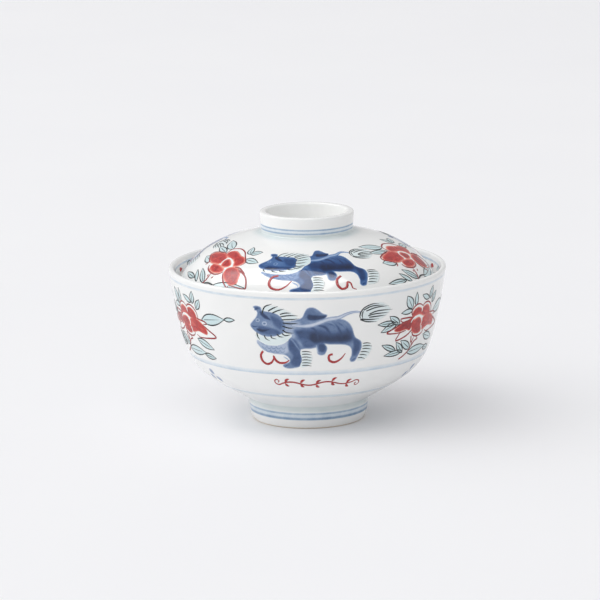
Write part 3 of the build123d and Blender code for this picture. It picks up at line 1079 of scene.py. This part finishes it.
# path, width, pigment, softness
LION_STROKES = [
    ([(-28.7, 58), (-27.2, 56.4), (-24.8, 54.8)], 1.6, 0.9, 0.7),
    ([(-30.8, 50.3), (-28.4, 49.8), (-25.5, 50.4)], 1.2, 0.97, 0.7),
    ([(-31, 58.8), (-30, 59.6), (-28.9, 59.3)], 1.0, 0.74, 0.5),
    ([(-9.5, 52.2), (-6.8, 51.2), (-5.2, 48.7), (-4.8, 46.6)], 0.9, 0.84, 0.9),
    ([(-5.4, 52.8), (-2, 51.6), (0, 49), (0.6, 46.6)], 0.9, 0.86, 0.9),
    ([(-1.4, 53.8), (2.3, 52.2), (4.5, 49.6), (5.3, 47)], 0.9, 0.84, 0.9),
    ([(3, 54), (6, 51.8), (7.7, 49.5), (8.4, 47.4)], 0.8, 0.82, 0.9),
    ([(-2.4, 54), (1, 53.2), (3.2, 51)], 0.6, 0.42, 1.0),
    ([(1.6, 54.7), (5, 53), (7, 50.6)], 0.6, 0.46, 1.0),
    (LION_TAIL + [(13.6, 57.2)], 2.1, 0.46, 0.3),
    (LION_TAIL, 1.1, 0.22, 0.35),
    ([(-17.2, 47.4), (-15.3, 45.4), (-14, 43.4), (-12.6, 41.4)], 0.7, 0.46, 0.7),
    ([(-5.6, 43.6), (-5.2, 41.6), (-4.6, 40.2)], 0.45, 0.3, 0.5),
    ([(-19.8, 38.4), (-18.2, 37.5), (-17.7, 36.3)], 0.5, 0.45, 0.4),
    ([(-19.6, 33.9), (-18.6, 34.6), (-17.2, 34.7)], 0.3, 0.85, 0.3),
    ([(10.6, 35.8), (11.4, 36.5), (12.2, 36.7)], 0.3, 0.85, 0.3),
    ([(-33, 51.6), (-31.6, 51.3), (-30.4, 51.7)], 0.4, 0.86, 0.35),
]


def chest_scales():
    """Rows of small arcs on the light chest."""
    rows = [(-29.6, 44.4, 3), (-29.2, 42.6, 5), (-27.6, 41.1, 4)]
    arcs = []
    for left, up, count in rows:
        for k in range(count):
            start = left + 2.1 * k
            arcs.append(([(start, up + 0.5), (start + 0.5, up - 0.5), (start + 1.5, up - 0.6),
                          (start + 2.1, up + 0.4)], 0.34, 0.5, 0.3))
    return arcs


def lion_sheet(carry, deepen):
    """The lion in cobalt on a sheet; carry takes drawing points to this pot's sheet."""
    low, high = carry([(-36.0, 32.0), (16.5, 63.0)])
    sheet = Sheet(low - (2, 5), high + (2, 2))
    scale = carry.scale
    for outline, pigment, soft, rim in LION_WASHES:
        sheet.wash(carry(outline), deepen(pigment), soft * scale, rim)
    for path, width, pigment, soft in LION_STROKES + chest_scales():
        sheet.brush(carry(path), width * scale, deepen(pigment), soft * scale)
    for across, up, size in ((-30.2, 54.3, 1.5), (-27.3, 53.0, 1.8)):
        for grow, pigment in ((1.0, 0.28), (0.45, 0.66)):
            ends = [(across - 0.15, up), (across + 0.15, up)]
            sheet.brush(carry(ends), size * grow * scale, deepen(pigment), 0.35, start=1, stop=1, keep=True)
    return sheet


class Carry:
    """Takes points of the lion's drawing to their place on a sheet, at a scale."""

    def __init__(self, scale=1.0):
        self.scale = scale

    def __call__(self, points):
        return self.scale * np.asarray(points, float)


class LidLionCarry(Carry):
    """The lid's lion is stretched in the shoulder and hangs its head and tail a little lower."""

    DRAWN_ACROSS = (-33.7, -20, -16, -8, 0, 11, 20, 28)
    LAID_ACROSS = (-30, -13.5, -9, -1.5, 5.6, 14.5, 24, 31)
    DROP_ACROSS = (-33, -24, -15, 8, 14, 25)
    DROP = (4.2, 3.6, 0.5, 0, 1.5, 2.4)
    DRAWN_PAWS, LAID_PAWS, BELLY_LINE = 33.3, 6.0, 42

    def __call__(self, points):
        across, up = np.asarray(points, float).T
        moved = np.interp(across, self.DRAWN_ACROSS, self.LAID_ACROSS)
        drop = np.interp(across, self.DROP_ACROSS, self.DROP)
        drop *= np.clip((up - self.BELLY_LINE) / 8, 0, 1)
        return np.stack([moved, (up - self.DRAWN_PAWS) * self.scale + self.LAID_PAWS - drop], 1)


BOWL_DRAWING = Carry()
LID_LION = LidLionCarry(scale=0.95)
LION_AT = 9.0
PEONY_AT, LID_PEONY_AT = 60.0, 62.0

bowl_lion = film(lion_sheet(BOWL_DRAWING, lambda pigment: 0.95 * pigment))
painting("bowl_cobalt_lions", "bowl", [bowl_lion], bowl_face, LION_AT, cobalt)
lid_lion = film(lion_sheet(LID_LION, lambda pigment: pigment**0.75))
painting("lid_cobalt_lions", "lid", [lid_lion], lid_face, LION_AT, deep_cobalt)

# %% [markdown]
# Enamels. Red and aqua are painted on the fired glaze and melted on in a cooler kiln, so they stand up a
# little, a touch less glossy than the glaze. Red shows every brush mark: thin it is a warm pink-red, thick
# it is oxblood. Aqua is a glassy wash you can see the white through. Outlines are a fine dark grey-green.

# %% Materials: enamels
RED_STOPS = [
    (0.0, srgb(236, 178, 160)),
    (0.2, srgb(212, 96, 84)),
    (0.5, srgb(188, 48, 44)),
    (0.8, srgb(150, 30, 34)),
    (1.0, srgb(120, 18, 26)),
]
AQUA_STOPS = [
    (0.0, GLAZE_WHITE),
    (0.3, srgb(222, 233, 234)),
    (0.65, srgb(203, 224, 227)),
    (1.0, srgb(166, 200, 206)),
]
LINE_STOPS = [(0.0, srgb(120, 138, 138)), (0.4, srgb(66, 80, 82)), (1.0, srgb(26, 34, 37))]
RED_LINE_STOPS = [(0.0, srgb(206, 104, 96)), (0.4, srgb(178, 52, 52)), (1.0, srgb(132, 26, 34))]


def make_enamel(name, stops, roughness, streaks, grain, grainy=0.006, faint_edge=False):
    """Overglaze enamel: brushed colour, uneven gloss, fine relief."""
    material, wiring, shader = new_material(name, stops[1][1])
    plugs = {"Streaks": streaks, "Grain": grain}
    brushed = wiring.add("ShaderNodeGroup", plugs, node_tree=brushed_group).outputs
    colour = ramp(wiring, brushed["Pigment"], stops)
    place = object_place(wiring)
    glaze = wiring.add("ShaderNodeGroup", node_tree=glaze_group).outputs
    if faint_edge:
        colour = mixed(wiring, brushed["Cover"], glaze["Colour"], colour)
    wiring.plug(colour, shader.inputs["Base Color"])
    patchy = noise(wiring, place, 160.0, 4.0)
    uneven = between(wiring, patchy, 0.25, 0.8, roughness * 0.75, roughness * 1.35)
    wiring.plug(uneven, shader.inputs["Roughness"])
    lumps = wiring.maths("MULTIPLY", noise(wiring, place, 1500.0, 3.0), grainy * MM)
    relief(wiring, shader, wiring.maths("ADD", glaze["Height"], lumps))
    shader.inputs["IOR"].default_value = ENAMEL_IOR
    return material


red_enamel = make_enamel("red_enamel", RED_STOPS, 0.24, 0.5, 0.1, grainy=0.012)
aqua_enamel = make_enamel("aqua_enamel", AQUA_STOPS, 0.12, 0.28, 0.04, faint_edge=True)
dark_outline = make_enamel("dark_outline", LINE_STOPS, 0.3, 0.5, 0.15)
red_outline = make_enamel("red_outline", RED_LINE_STOPS, 0.26, 0.5, 0.12)

# %% [markdown]
# Mane, tuft and fringes. The lion's hair is a pale aqua wash with fine dark strokes over it, each set down
# at the skin and flicked outwards.

# %% Lion: hair
LION_HAIR_WASHES = [
    [(-31.5, 48), (-30.5, 45.5), (-27, 43.7), (-23, 43.5), (-19.5, 44.5), (-17, 46.7), (-16, 48.5),
     (-18.8, 49), (-22.5, 47.4), (-27, 47)],
    [(-28, 58.9), (-26.5, 60.6), (-24, 61), (-20.5, 60.2), (-17, 58.6), (-14.2, 57), (-13.6, 55.4),
     (-18.6, 54.6), (-20.4, 57), (-23.5, 58.3)],
    [(13.2, 57.6), (15.5, 59.5), (19, 60.6), (23, 60.2), (27, 57.3), (26.5, 56), (24, 54), (20, 52.3),
     (16, 52.6), (13.2, 54.2)],
    [(-12.3, 41), (-9, 40.5), (-7.3, 38.3), (-8.5, 35.3), (-11, 33.9), (-12.7, 34.3), (-11.6, 37)],
    [(14.8, 43), (18, 42.8), (19.5, 41), (18.5, 38), (16.5, 36), (13, 35.9), (14.2, 38.5), (15.2, 41)],
]
LION_HAIR = [
    [(-27.5, 59), (-26.5, 60.6), (-23.5, 61.8)], [(-25.3, 58.6), (-23.5, 59.8), (-21, 61)],
    [(-23.6, 57.8), (-21.5, 58.9), (-18.6, 59.8)], [(-20.5, 57.3), (-18.3, 58), (-15.8, 58)],
    [(-20.3, 56.3), (-17, 56.9), (-13, 56.9)], [(-19.8, 55), (-16, 55.2), (-12.5, 55.6)],
    [(-19.5, 53.6), (-16.5, 53.3), (-13, 53.6)], [(-19.7, 52.2), (-17, 51.4), (-14.5, 51.5)],
    [(-19.7, 50.5), (-18, 49.3), (-15, 49.2)], [(-20, 49), (-18.7, 48), (-16, 48.6)],
    [(-22.2, 48.6), (-21.2, 47.5), (-19.2, 47.3)], [(-24.8, 48), (-24.6, 46.8), (-22.3, 46.3)],
    [(-27.8, 47.8), (-27.2, 46.3), (-25.3, 45.4)], [(-31, 48.8), (-30.8, 47), (-29.8, 45.5)],
    [(-28, 57.5), (-27.4, 59.2), (-27, 60)],
    [(12.7, 56.7), (14.5, 59), (18, 60.3), (21.5, 60.2)], [(14.3, 58), (18, 59.4), (24, 59.2)],
    [(15.5, 57.5), (20, 58.6), (26.3, 58.6)], [(17, 56), (21, 57), (28.5, 56.7)],
    [(16.5, 55.3), (20, 55.8), (26.5, 55.6)], [(17, 54.6), (21, 54.6), (25.5, 54.6)],
    [(13, 54), (16, 52.8), (21, 52.2)], [(13.4, 54.2), (17, 53.6), (22, 53.4)],
    [(13.1, 57.2), (12.7, 55.6), (13.2, 54.1)], [(14.1, 57.6), (13.7, 55.7), (14.2, 54.2)],
]
FRONT_FRINGE = [((-11.8, up), (-7.6, up - 0.3)) for up in (40.9, 39.7, 38.4, 37.1, 35.8, 34.6)]
HIND_FRINGE = [((15, 43.2), (19, 42.8)), ((15, 42), (19.6, 41.5)), ((15, 40.8), (19.3, 40.2)),
               ((14.4, 39.5), (18.6, 38.8)), ((14, 38.2), (17.6, 37.6)), ((13.3, 36.9), (16.8, 36.2))]
LID_MANE = [(-18.6, 48), (-16, 48.5), (-13, 50.5), (-12.5, 53), (-13.6, 55.4), (-18.6, 54.6)]
HAIR_WIDTH = 0.58


def hair_sheet(carry, mane=None):
    """Pale washes under the hair, with one more where the mane falls over the shoulder."""
    low, high = carry([(-34.0, 32.5), (28.0, 63.0)])
    sheet = Sheet(low - (0, 5), high + (2, 2))
    for outline in LION_HAIR_WASHES:
        sheet.wash(carry(outline), 0.3, 1.6 * carry.scale, rim=0.1)
    if mane:
        sheet.wash(carry(mane), 0.5, 1.6 * carry.scale)
    return sheet


def hair_strokes(carry, width):
    """The fine dark strokes of the hair, thick where they start."""
    strokes = [stroke(carry(path), width, start=0.9, stop=0.1, lift=0.02) for path in LION_HAIR]
    for start, stop in FRONT_FRINGE + HIND_FRINGE:
        middle = ((start[0] + stop[0]) / 2, (start[1] + stop[1]) / 2 + 0.25)
        strokes.append(stroke(carry([start, middle, stop]), width * 0.8, start=0.7, stop=0.3, lift=0.02))
    return swept_strokes(strokes)


for body, face, carry, mane in (
    ("bowl", bowl_face, BOWL_DRAWING, None),
    ("lid", lid_face, LID_LION, LID_MANE),
):
    wash = film(hair_sheet(carry, mane), lift=0.02)
    painting(f"{body}_lion_hair_wash", body, [wash], face, LION_AT, aqua_enamel)
    hair = hair_strokes(carry, HAIR_WIDTH)
    painting(f"{body}_lion_hair", body, [hair], face, LION_AT, dark_outline)

# %% [markdown]
# Peonies. Between the lions a red peony opens among pointed leaves. Its petals are filled with a broad,
# loaded brush that leaves thin rims of white between them, and drawn round in a darker red line.

# %% Peony: petals
BOWL_PETALS = [
    ([(-9.8, 51.6), (-9.2, 53.6), (-7, 54.6), (-4.5, 54.2), (-3.2, 53.4), (-1.5, 54.3), (1, 54.6),
      (3.4, 53.2), (4.3, 50.9), (3.4, 50), (0.6, 50.4), (-1.4, 50.6), (-4.4, 51.7), (-7.5, 51.5)], 0.6),
    ([(-1.4, 49), (1, 50.4), (4.5, 50.2), (8, 48.6), (10.4, 46.4), (10.2, 44.6), (7.5, 44.8), (4.5, 45.3),
      (2, 44.7), (-0.6, 44.2), (-1.6, 46)], 0.55),
    ([(-8.4, 51.2), (-12, 50), (-16.5, 48.6), (-19.8, 46.9), (-17, 46.1), (-13, 46.5), (-10.6, 45.7),
      (-9.4, 47.5)], 0.8),
    ([(-9, 45.6), (-7, 43.8), (-3.5, 43.2), (-1.6, 44), (-1.6, 45.8), (-4.4, 46.4), (-8, 46.4)], 0.66),
    ([(-9.5, 48.6), (-6, 50), (-3.6, 49.5), (-2.4, 47.6), (-4, 46.2), (-8.5, 46)], 0.7),
]
BOWL_PETAL_GAPS = [
    [(-10, 48.9), (-8.6, 50.4), (-5.5, 51), (-2.7, 50.1), (-1.6, 48), (-2.4, 46.2)],
    [(-1.9, 46), (-1.2, 44.8), (-1.4, 42.8)],
    [(-3.2, 54.6), (-2.8, 53.2), (-3, 52.2)],
]
BOWL_PETAL_LINES = [
    [(-9.5, 51.6), (-10.6, 53.4), (-9.4, 55.3), (-7, 56.3), (-4.5, 55.9), (-2.7, 54.8)],
    [(-2.9, 54.8), (-1.5, 55.8), (0.8, 56.1), (3.4, 55.1), (5.2, 53.2), (5.6, 51.2)],
    [(4.6, 50.9), (6.5, 50.5), (10, 50.1), (11.3, 49.2), (9, 48.8)],
    [(8, 48.5), (12, 46.5), (16, 44), (11, 42.9), (5, 42.4), (2.4, 43.2)],
    [(-11.5, 50.2), (-18, 48.6), (-24, 46.2), (-19, 45.4), (-14, 45.5)],
    [(-9, 45.2), (-12.5, 43.2), (-18.4, 42), (-17.6, 43.8), (-16.4, 45.2), (-13, 45.8)],
    [(-9, 50.9), (-12, 51.3), (-17, 51.4), (-15.8, 49.8), (-13, 50.1)],
    [(-8.6, 44.5), (-7, 42.5), (-3.2, 41.8), (0, 42.6), (1, 44)],
    [(-8.5, 42.6), (-7.6, 39.4), (-6.4, 41.6)],
    [(-7.2, 37.6), (-5.4, 39.8), (-3, 40.5), (-4.8, 41.8)],
    [(-14, 33), (-11.5, 34), (-9, 35.6), (-7.4, 37.4), (-7, 39.4)],
]
LID_PETALS = [
    ([(-6.5, 17.0), (-10.0, 18.7), (-9.9, 20.4), (-6.0, 21.9), (-1.6, 22.5), (1.5, 21.4), (3.6, 19.4),
      (2.6, 17.8), (1.6, 16.6), (-0.8, 16.4), (-3.4, 16.1)], 0.56),
    ([(0.8, 22.4), (0.2, 24.4), (3.5, 25.5), (7.3, 24.4), (9.9, 23.2), (12.8, 22.5), (14.9, 20.5),
      (14.9, 19.0), (13.4, 17.6), (11.5, 17.3), (10.4, 19.3), (7.8, 20.9), (4.6, 21.4)], 0.6),
    ([(4.3, 16.7), (4.1, 18.5), (5.2, 19.7), (7.4, 18.7), (8.9, 17.2), (7.9, 16.1), (5.6, 15.9)], 0.74),
    ([(-0.8, 13.2), (-1.0, 15.2), (2.7, 15.4), (5.7, 14.8), (7.4, 13.8), (6.3, 12.5), (3.4, 12.1),
      (0.8, 12.3)], 0.64),
    ([(9.2, 12.9), (9.6, 15.0), (12.3, 15.9), (15.0, 15.2), (16.8, 13.2), (17.2, 10.7), (17.3, 8.5),
      (15.1, 7.9), (12.7, 9.1), (10.4, 11.0)], 0.72),
]
LID_PETAL_GAPS = [
    [(3.5, 16.3), (2.9, 18.6), (4.4, 20.7), (7.5, 20.0), (9.8, 18.2), (10.4, 16.6)],
    [(8.6, 15.6), (8.2, 13.6), (8.6, 12.2)],
]
LID_PETAL_LINES = [
    [(-6.6, 14.1), (-5.6, 15.5), (-8.1, 17.3), (-11.2, 19.0), (-11.4, 20.8), (-8.0, 22.3), (-3.9, 23.2),
     (-0.5, 22.8)],
    [(-1.0, 23.3), (-1.6, 26.1), (1.2, 27.7), (4.9, 28.1), (9.5, 26.6), (12.8, 23.8), (15.9, 20.7),
     (15.8, 19.1), (14.8, 17.9)],
    [(-3.1, 14.3), (-2.1, 12.7), (1.0, 11.4), (4.3, 11.0), (6.9, 11.7), (8.3, 13.1)],
    [(8.7, 12.3), (9.9, 10.2), (12.0, 7.7), (14.1, 6.2), (14.5, 7.0)],
    [(15.2, 15.5), (18.5, 13.8), (20.7, 11.9), (22.0, 9.1), (22.3, 6.5), (19.9, 6.6), (17.2, 7.0),
     (14.5, 7.3)],
    [(12.8, 16.5), (15.4, 16.3), (19.3, 13.8), (17.3, 14.2), (15.9, 14.5)],
    [(0.6, 5.6), (1.6, 7.7), (1.9, 9.6), (1.9, 11.1)],
    [(1.1, 9.2), (0.9, 10.2)],
    [(3.9, 8.9), (4.7, 9.8)],
]


def petal_sheet(petals, gaps, low, high, full):
    """Red petals: filled a little past their outline, streaked, with thin rings of white left open."""
    sheet = Sheet(low, high, step=0.25)
    for outline, pigment in petals:
        sheet.wash(outline, pigment, 0.5 + 2.6 * full, rim=-0.12)
        points = np.array(outline)
        centre = points.mean(0)
        for k in range(0, len(points), 2):
            way = [centre + 0.1 * (points[k] - centre), centre + 0.85 * (points[k] - centre)]
            tone = pigment + (0.14 if k % 4 else -0.16)
            sheet.brush(way, 0.9, tone, 0.9, keep=True)
    sheet.within += full
    for gap in gaps:
        line = smooth(gap)
        where = sheet.near(line, 2.0)
        open_by = distance_to_stroke(sheet.grid[where], line, pressed(len(line), 1.35, 0.8, 0.6))
        sheet.within[where] = np.minimum(sheet.within[where], -open_by)
    return sheet


# %% Peony: leaves
LEAVES = [  # base, tip, half-width
    ((-10.5, 55.2), (-14.7, 61.2), 2.0), ((-8, 55.8), (-8.7, 62), 1.1), ((-10, 54.2), (-17.2, 54), 1.1),
    ((-17.3, 49.2), (-23.5, 53.6), 1.5), ((-20, 50.3), (-29.3, 50.6), 1.2), ((-18.5, 50.3), (-27.3, 46.9),
     1.5),
    ((2, 57.3), (-4.3, 59.9), 1.1), ((3, 57), (3.9, 62.6), 1.5), ((5.3, 54.8), (8.5, 59.6), 1.5),
    ((8.3, 50.8), (22.3, 52.8), 2.5), ((22, 52.8), (27.7, 53.3), 0.9), ((-17.6, 37.6), (-26, 41.1), 1.2),
    ((-12.8, 36.6), (-24, 36), 1.2), ((-12.8, 35.8), (-18, 41.3), 1.4), ((-7.8, 36.8), (-15.2, 41.6), 1.6),
    ((-9.3, 35.3), (6.6, 35.6), 2.0), ((5.3, 34.8), (13, 34), 1.2), ((2, 41.3), (13.2, 38), 1.7),
]
LID_LEAVES = [
    ((14, 25.5), (10.5, 31.3), 1.7), ((14, 26), (20.5, 28.4), 1.6), ((14.5, 22), (22.7, 20.8), 1.7),
    ((-1, 26.5), (-16, 31), 2.2), ((-2, 23.5), (-15, 25), 1.5), ((-4, 5.5), (-9, 10.6), 1.0),
    ((1, 5.8), (-6, 12), 1.4), ((-7, 6.8), (-17, 7), 1.2), ((-4.5, 16.5), (-13.3, 17.5), 2.0),
    ((6, 5.5), (22, 7), 2.2),
]
LID_TWIG = [(0.5, 5.5), (4, 6.5), (9.5, 5.5)]
LEAF_LINE, PETAL_LINE = 0.56, 0.74


def leaf_edge(base, tip, half, side):
    """One edge of a pointed leaf."""
    base, tip = np.array(base, float), np.array(tip, float)
    way = tip - base
    across = np.array([-way[1], way[0]]) / np.linalg.norm(way) * half * side
    steps = (0.001, 0.2, 0.42, 0.68, 0.999)
    return [base + way * t + across * math.sin(math.pi * t**0.85) ** 0.9 for t in steps]


def leaf_blades(leaves):
    """Aqua inside each leaf, as wide flat strokes."""
    blades = []
    for base, tip, half in leaves:
        path = smooth([base, (np.array(base) + tip) / 2, tip], step=1.0)
        t = np.linspace(0.03, 0.97, len(path))
        width = half * 0.9 * np.sin(np.pi * t**0.85) ** 0.9
        blades.append((path, np.maximum(width, 0.05), 0.62, 0.006))
    return swept_strokes(blades, flatness=0.022, sides=14)


def leaf_lines(leaves, width):
    """Edges and vein of each leaf."""
    strokes = []
    for base, tip, half in leaves:
        for side in (-1, 1):
            strokes.append(stroke(leaf_edge(base, tip, half, side), width, 0.7, 0.5, lift=0.02))
        rib = [np.array(base) + (np.array(tip) - base) * t for t in (0.12, 0.45, 0.78)]
        if half > 1.15:
            strokes.append(stroke(rib, width * 0.7, 0.8, 0.3, pigment=0.5, lift=0.03))
    return strokes


def petal_lines(lines, width):
    """The darker red line round the petals."""
    return swept_strokes([stroke(path, width, 0.8, 0.5, pigment=0.8, lift=0.03) for path in lines])


for body, face, azimuth, corners, full, petals, gaps, lines, leaves, twigs in (
    ("bowl", bowl_face, PEONY_AT, ((-26, 36), (18, 60)), 0.1, BOWL_PETALS, BOWL_PETAL_GAPS, BOWL_PETAL_LINES,
     LEAVES, []),
    ("lid", lid_face, LID_PEONY_AT, ((-16, 4), (24, 30)), 0.4, LID_PETALS, LID_PETAL_GAPS, LID_PETAL_LINES,
     LID_LEAVES, [LID_TWIG]),
):
    red = film(petal_sheet(petals, gaps, *corners, full), margin=0.3, lift=0.02, dome=0.045)
    painting(f"{body}_red_peonies", body, [red], face, azimuth, red_enamel)
    painting(f"{body}_leaf_wash", body, [leaf_blades(leaves)], face, azimuth, aqua_enamel)
    dark = swept_strokes(leaf_lines(leaves, LEAF_LINE) + [stroke(path, 0.8, lift=0.02) for path in twigs])
    painting(f"{body}_leaf_lines", body, [dark], face, azimuth, dark_outline)
    drawn_round = petal_lines(lines, PETAL_LINE)
    painting(f"{body}_petal_lines", body, [drawn_round], face, azimuth, red_outline)

# %% [markdown]
# Small red brushwork: loose curls under the paws, and on the narrow lower band of the bowl a running vine
# with pairs of pointed leaves.

# %% Curls and vine
BOWL_CURLS = [
    [(-29, 40.6), (-30.2, 38.8), (-29.8, 36.2), (-27.7, 34.8), (-25.4, 35.8), (-24.2, 38.2), (-24.6, 38.9)],
    [(-24.4, 38.6), (-23.6, 36.8), (-21.8, 35.6), (-19, 35.9), (-17.5, 37)],
    [(1.6, 39.4), (0, 38.9), (0.2, 36.7), (2.6, 35.7), (5.4, 37.1), (7.3, 39.5)],
]
LID_CURLS = [
    [(-19.2, 14.2), (-21.6, 13.2), (-22.4, 10.4), (-21.1, 8), (-18.1, 7.4), (-15.5, 9.1), (-13.6, 11.6)],
    [(6.4, 13.6), (4.6, 12.2), (4.2, 9.4), (5.6, 7.3), (7.6, 8), (8.4, 10.4), (9.6, 9.6), (9.8, 7.4),
     (11.2, 6.6)],
]
CURL_WIDTH = 1.15
VINE_FROM, VINE_TO, VINE_UP, VINE_SWING, VINE_WAVES = -22.0, 13.0, 25.7, 0.8, 2


def vine_strokes():
    """A running stem that curls up at both ends, with a pair of pointed leaves at every half wave."""
    def stem(t):
        """A place on the stem, from 0 at its left end to 1 at its right."""
        swing = VINE_SWING * math.sin(math.tau * VINE_WAVES * t)
        return np.array([VINE_FROM + (VINE_TO - VINE_FROM) * t, VINE_UP + swing])

    curl = np.array([(0, 0), (1.6, -0.7), (3.2, -0.2), (3.6, 1.2), (2.4, 2.0), (1.4, 1.2), (2.0, 0.5)])
    first, last = stem(0) + curl[::-1] * (-1, 1), stem(1) + curl * (1, -1)
    line = np.concatenate([first, [stem(t) for t in np.linspace(0.04, 0.96, 26)], last])
    strokes = [stroke(line, 0.8, 0.6, 0.6, pigment=0.6, lift=0.02)]
    for k in range(2 * VINE_WAVES + 1):
        root = stem((k + 0.15) / (2 * VINE_WAVES + 0.6))
        for side, length in ((1, 2.6), (-1, 2.2)):
            leaf = [root + (0.2, 0.35 * side), root + (0.5 * length, 0.62 * length * side),
                    root + (length, 0.78 * length * side)]
            strokes.append(stroke(leaf, 1.3, 0.15, 0.08, pigment=0.55, lift=0.03))
    return strokes


for body, face, curls in (("bowl", bowl_face, BOWL_CURLS), ("lid", lid_face, LID_CURLS)):
    drawn = swept_strokes([stroke(path, CURL_WIDTH, 0.8, 0.3, pigment=0.6, lift=0.02) for path in curls])
    painting(f"{body}_red_curls", body, [drawn], face, LION_AT, red_outline)
vine = swept_strokes(vine_strokes())
painting("bowl_red_vine", "bowl", [vine], bowl_face, LION_AT, red_outline)

# %% [markdown]
# The last touches: three soft blue dots under each peony of the bowl, and inside its rim a border of red
# dabs and aqua leaves that shows best when the lid is off.

# %% Dots and inner border
def dot_sheet():
    """Three soft dots of cobalt."""
    sheet = Sheet((-6, 20.5), (9, 30.5))
    for across, up in ((0.5, 23.4), (3.6, 26.4), (5.6, 23.0)):
        sheet.brush([(across - 0.3, up), (across + 0.3, up + 0.1)], 2.6, 0.42, 0.9, start=1, stop=1)
    return sheet


dots = film(dot_sheet())
painting("bowl_blue_dots", "bowl", [dots], bowl_face, PEONY_AT, cobalt)

BORDER_UP, BORDER_COPIES, BORDER_AT, BORDER_LINE = 62.4, 12, 16.0, 0.42
dab = swept_strokes([stroke([(-1.9, BORDER_UP), (0, BORDER_UP + 0.2), (1.9, BORDER_UP)], 2.0, 0.45, 0.3,
                            pigment=0.6, lift=0.004)], flatness=0.05, sides=12)
painting("bowl_border_dabs", "bowl", [dab], bowl_inner_face, BORDER_AT,
         red_enamel, copies=BORDER_COPIES)
sprig_leaves = [
    ((8.2, BORDER_UP), (12.6, BORDER_UP + 1.4), 1.15),
    ((14.8, BORDER_UP), (17.4, BORDER_UP + 2.0), 1.0),
    ((14.8, BORDER_UP), (18.6, BORDER_UP - 0.8), 0.9),
]
painting("bowl_border_leaf_wash", "bowl", [leaf_blades(sprig_leaves)], bowl_inner_face, BORDER_AT,
         aqua_enamel, copies=BORDER_COPIES)
sprig_lines = swept_strokes(leaf_lines(sprig_leaves, BORDER_LINE))
painting("bowl_border_leaf_lines", "bowl", [sprig_lines], bowl_inner_face, BORDER_AT,
         dark_outline, copies=BORDER_COPIES)

# %% [markdown]
# Studio: a pale floor wide enough to fill the view, a soft source from the upper left, a wide pale wall on
# the left, and a strip overhead that shows only as the washed reflection across the lower front of the
# lid. The colour management is plain, so white porcelain stays white.

# %% Floor, lights and camera
FLOOR_HALF = 8.0
PANEL_DISTANCE = 6.0
CAMERA_TARGET, CAMERA_DISTANCE = (-0.0033, 0.0, 0.0512), 1.483
CAMERA_ELEVATION, CAMERA_ROLL, CAMERA_LENS = 12.03, -0.65, 206.3


def make_floor():
    """A pale paper floor, with the faint mottling paper has."""
    material, wiring, shader = new_material("floor_paper", srgb(243, 243, 245))
    mottled = noise(wiring, object_place(wiring), 6.0, 5.0)
    colour = mixed(wiring, mottled, srgb(242, 242, 244), srgb(245, 245, 246))
    wiring.plug(colour, shader.inputs["Base Color"])
    shader.inputs["Roughness"].default_value = 0.9
    shader.inputs["Specular IOR Level"].default_value = 0.1
    half = FLOOR_HALF
    corners = [(-half, -half, 0), (half, -half, 0), (half, half, 0), (-half, half, 0)]
    mesh = flat_mesh("floor", corners, faces=[(0, 1, 2, 3)])
    mesh.materials.append(material)
    floor = bpy.data.objects.new("floor", mesh)
    bpy.context.scene.collection.objects.link(floor)


def soft_panel(name, azimuth, elevation, offset, size, radiance, roll=0.0):
    """A rectangular soft source far off. Offset and size are shares of its distance, seen from the bowl."""
    around, above = math.radians(azimuth), math.radians(elevation)
    away = mathutils.Vector((math.sin(around) * math.cos(above), -math.cos(around) * math.cos(above),
                             math.sin(above)))
    light = bpy.data.lights.new(name, "AREA")
    light.shape, light.size, light.size_y = "RECTANGLE", size[0] * PANEL_DISTANCE, size[1] * PANEL_DISTANCE
    light.energy = radiance * math.pi * light.size * light.size_y
    lamp = bpy.data.objects.new(name, light)
    facing = away.to_track_quat("Z", "Y") @ mathutils.Quaternion((0, 0, 1), math.radians(roll))
    lamp.rotation_euler = facing.to_euler()
    shift = facing @ mathutils.Vector((offset[0], offset[1], 0))
    lamp.location = mathutils.Vector((0, 0, 0.05)) + (away + shift) * PANEL_DISTANCE
    bpy.context.scene.collection.objects.link(lamp)
    return lamp


def make_world(colour, strength):
    """Even light from all round, as in a white room."""
    world = bpy.data.worlds.new("white_room")
    world.use_nodes = True
    background = world.node_tree.nodes["Background"]
    background.inputs["Color"].default_value = colour
    background.inputs["Strength"].default_value = strength
    bpy.context.scene.world = world


def make_camera():
    """A long lens a little above the rim, looking down on the bowl by twelve degrees."""
    elevation = math.radians(CAMERA_ELEVATION)
    target = mathutils.Vector(CAMERA_TARGET)
    back = mathutils.Vector((0, -math.cos(elevation), math.sin(elevation)))
    data = bpy.data.cameras.new("camera")
    data.lens, data.sensor_width = CAMERA_LENS, 36.0
    camera = bpy.data.objects.new("camera", data)
    camera.location = target + back * CAMERA_DISTANCE
    roll = mathutils.Quaternion((0, 0, 1), math.radians(CAMERA_ROLL))
    camera.rotation_euler = ((-back).to_track_quat("-Z", "Y") @ roll).to_euler()
    data.clip_start, data.clip_end = 0.05, 60
    bpy.context.scene.collection.objects.link(camera)
    bpy.context.scene.camera = camera


make_floor()
make_world((0.985, 0.985, 1.0, 1.0), 0.57)
softbox = soft_panel("softbox", -28, 58, (-0.34, 0.29), (1.92, 0.88), 0.95, roll=20)
left_wall = soft_panel("left_wall", -78, 36, (0.0, 0.0), (3.0, 1.5), 0.58)
sheen = soft_panel("overhead_strip", 0, 90, (0.575, 0.153), (2.05, 0.55), 4.2, roll=-28)
softbox.visible_glossy = left_wall.visible_glossy = False
sheen.visible_diffuse = False
make_camera()
bpy.context.scene.view_settings.view_transform = "Standard"
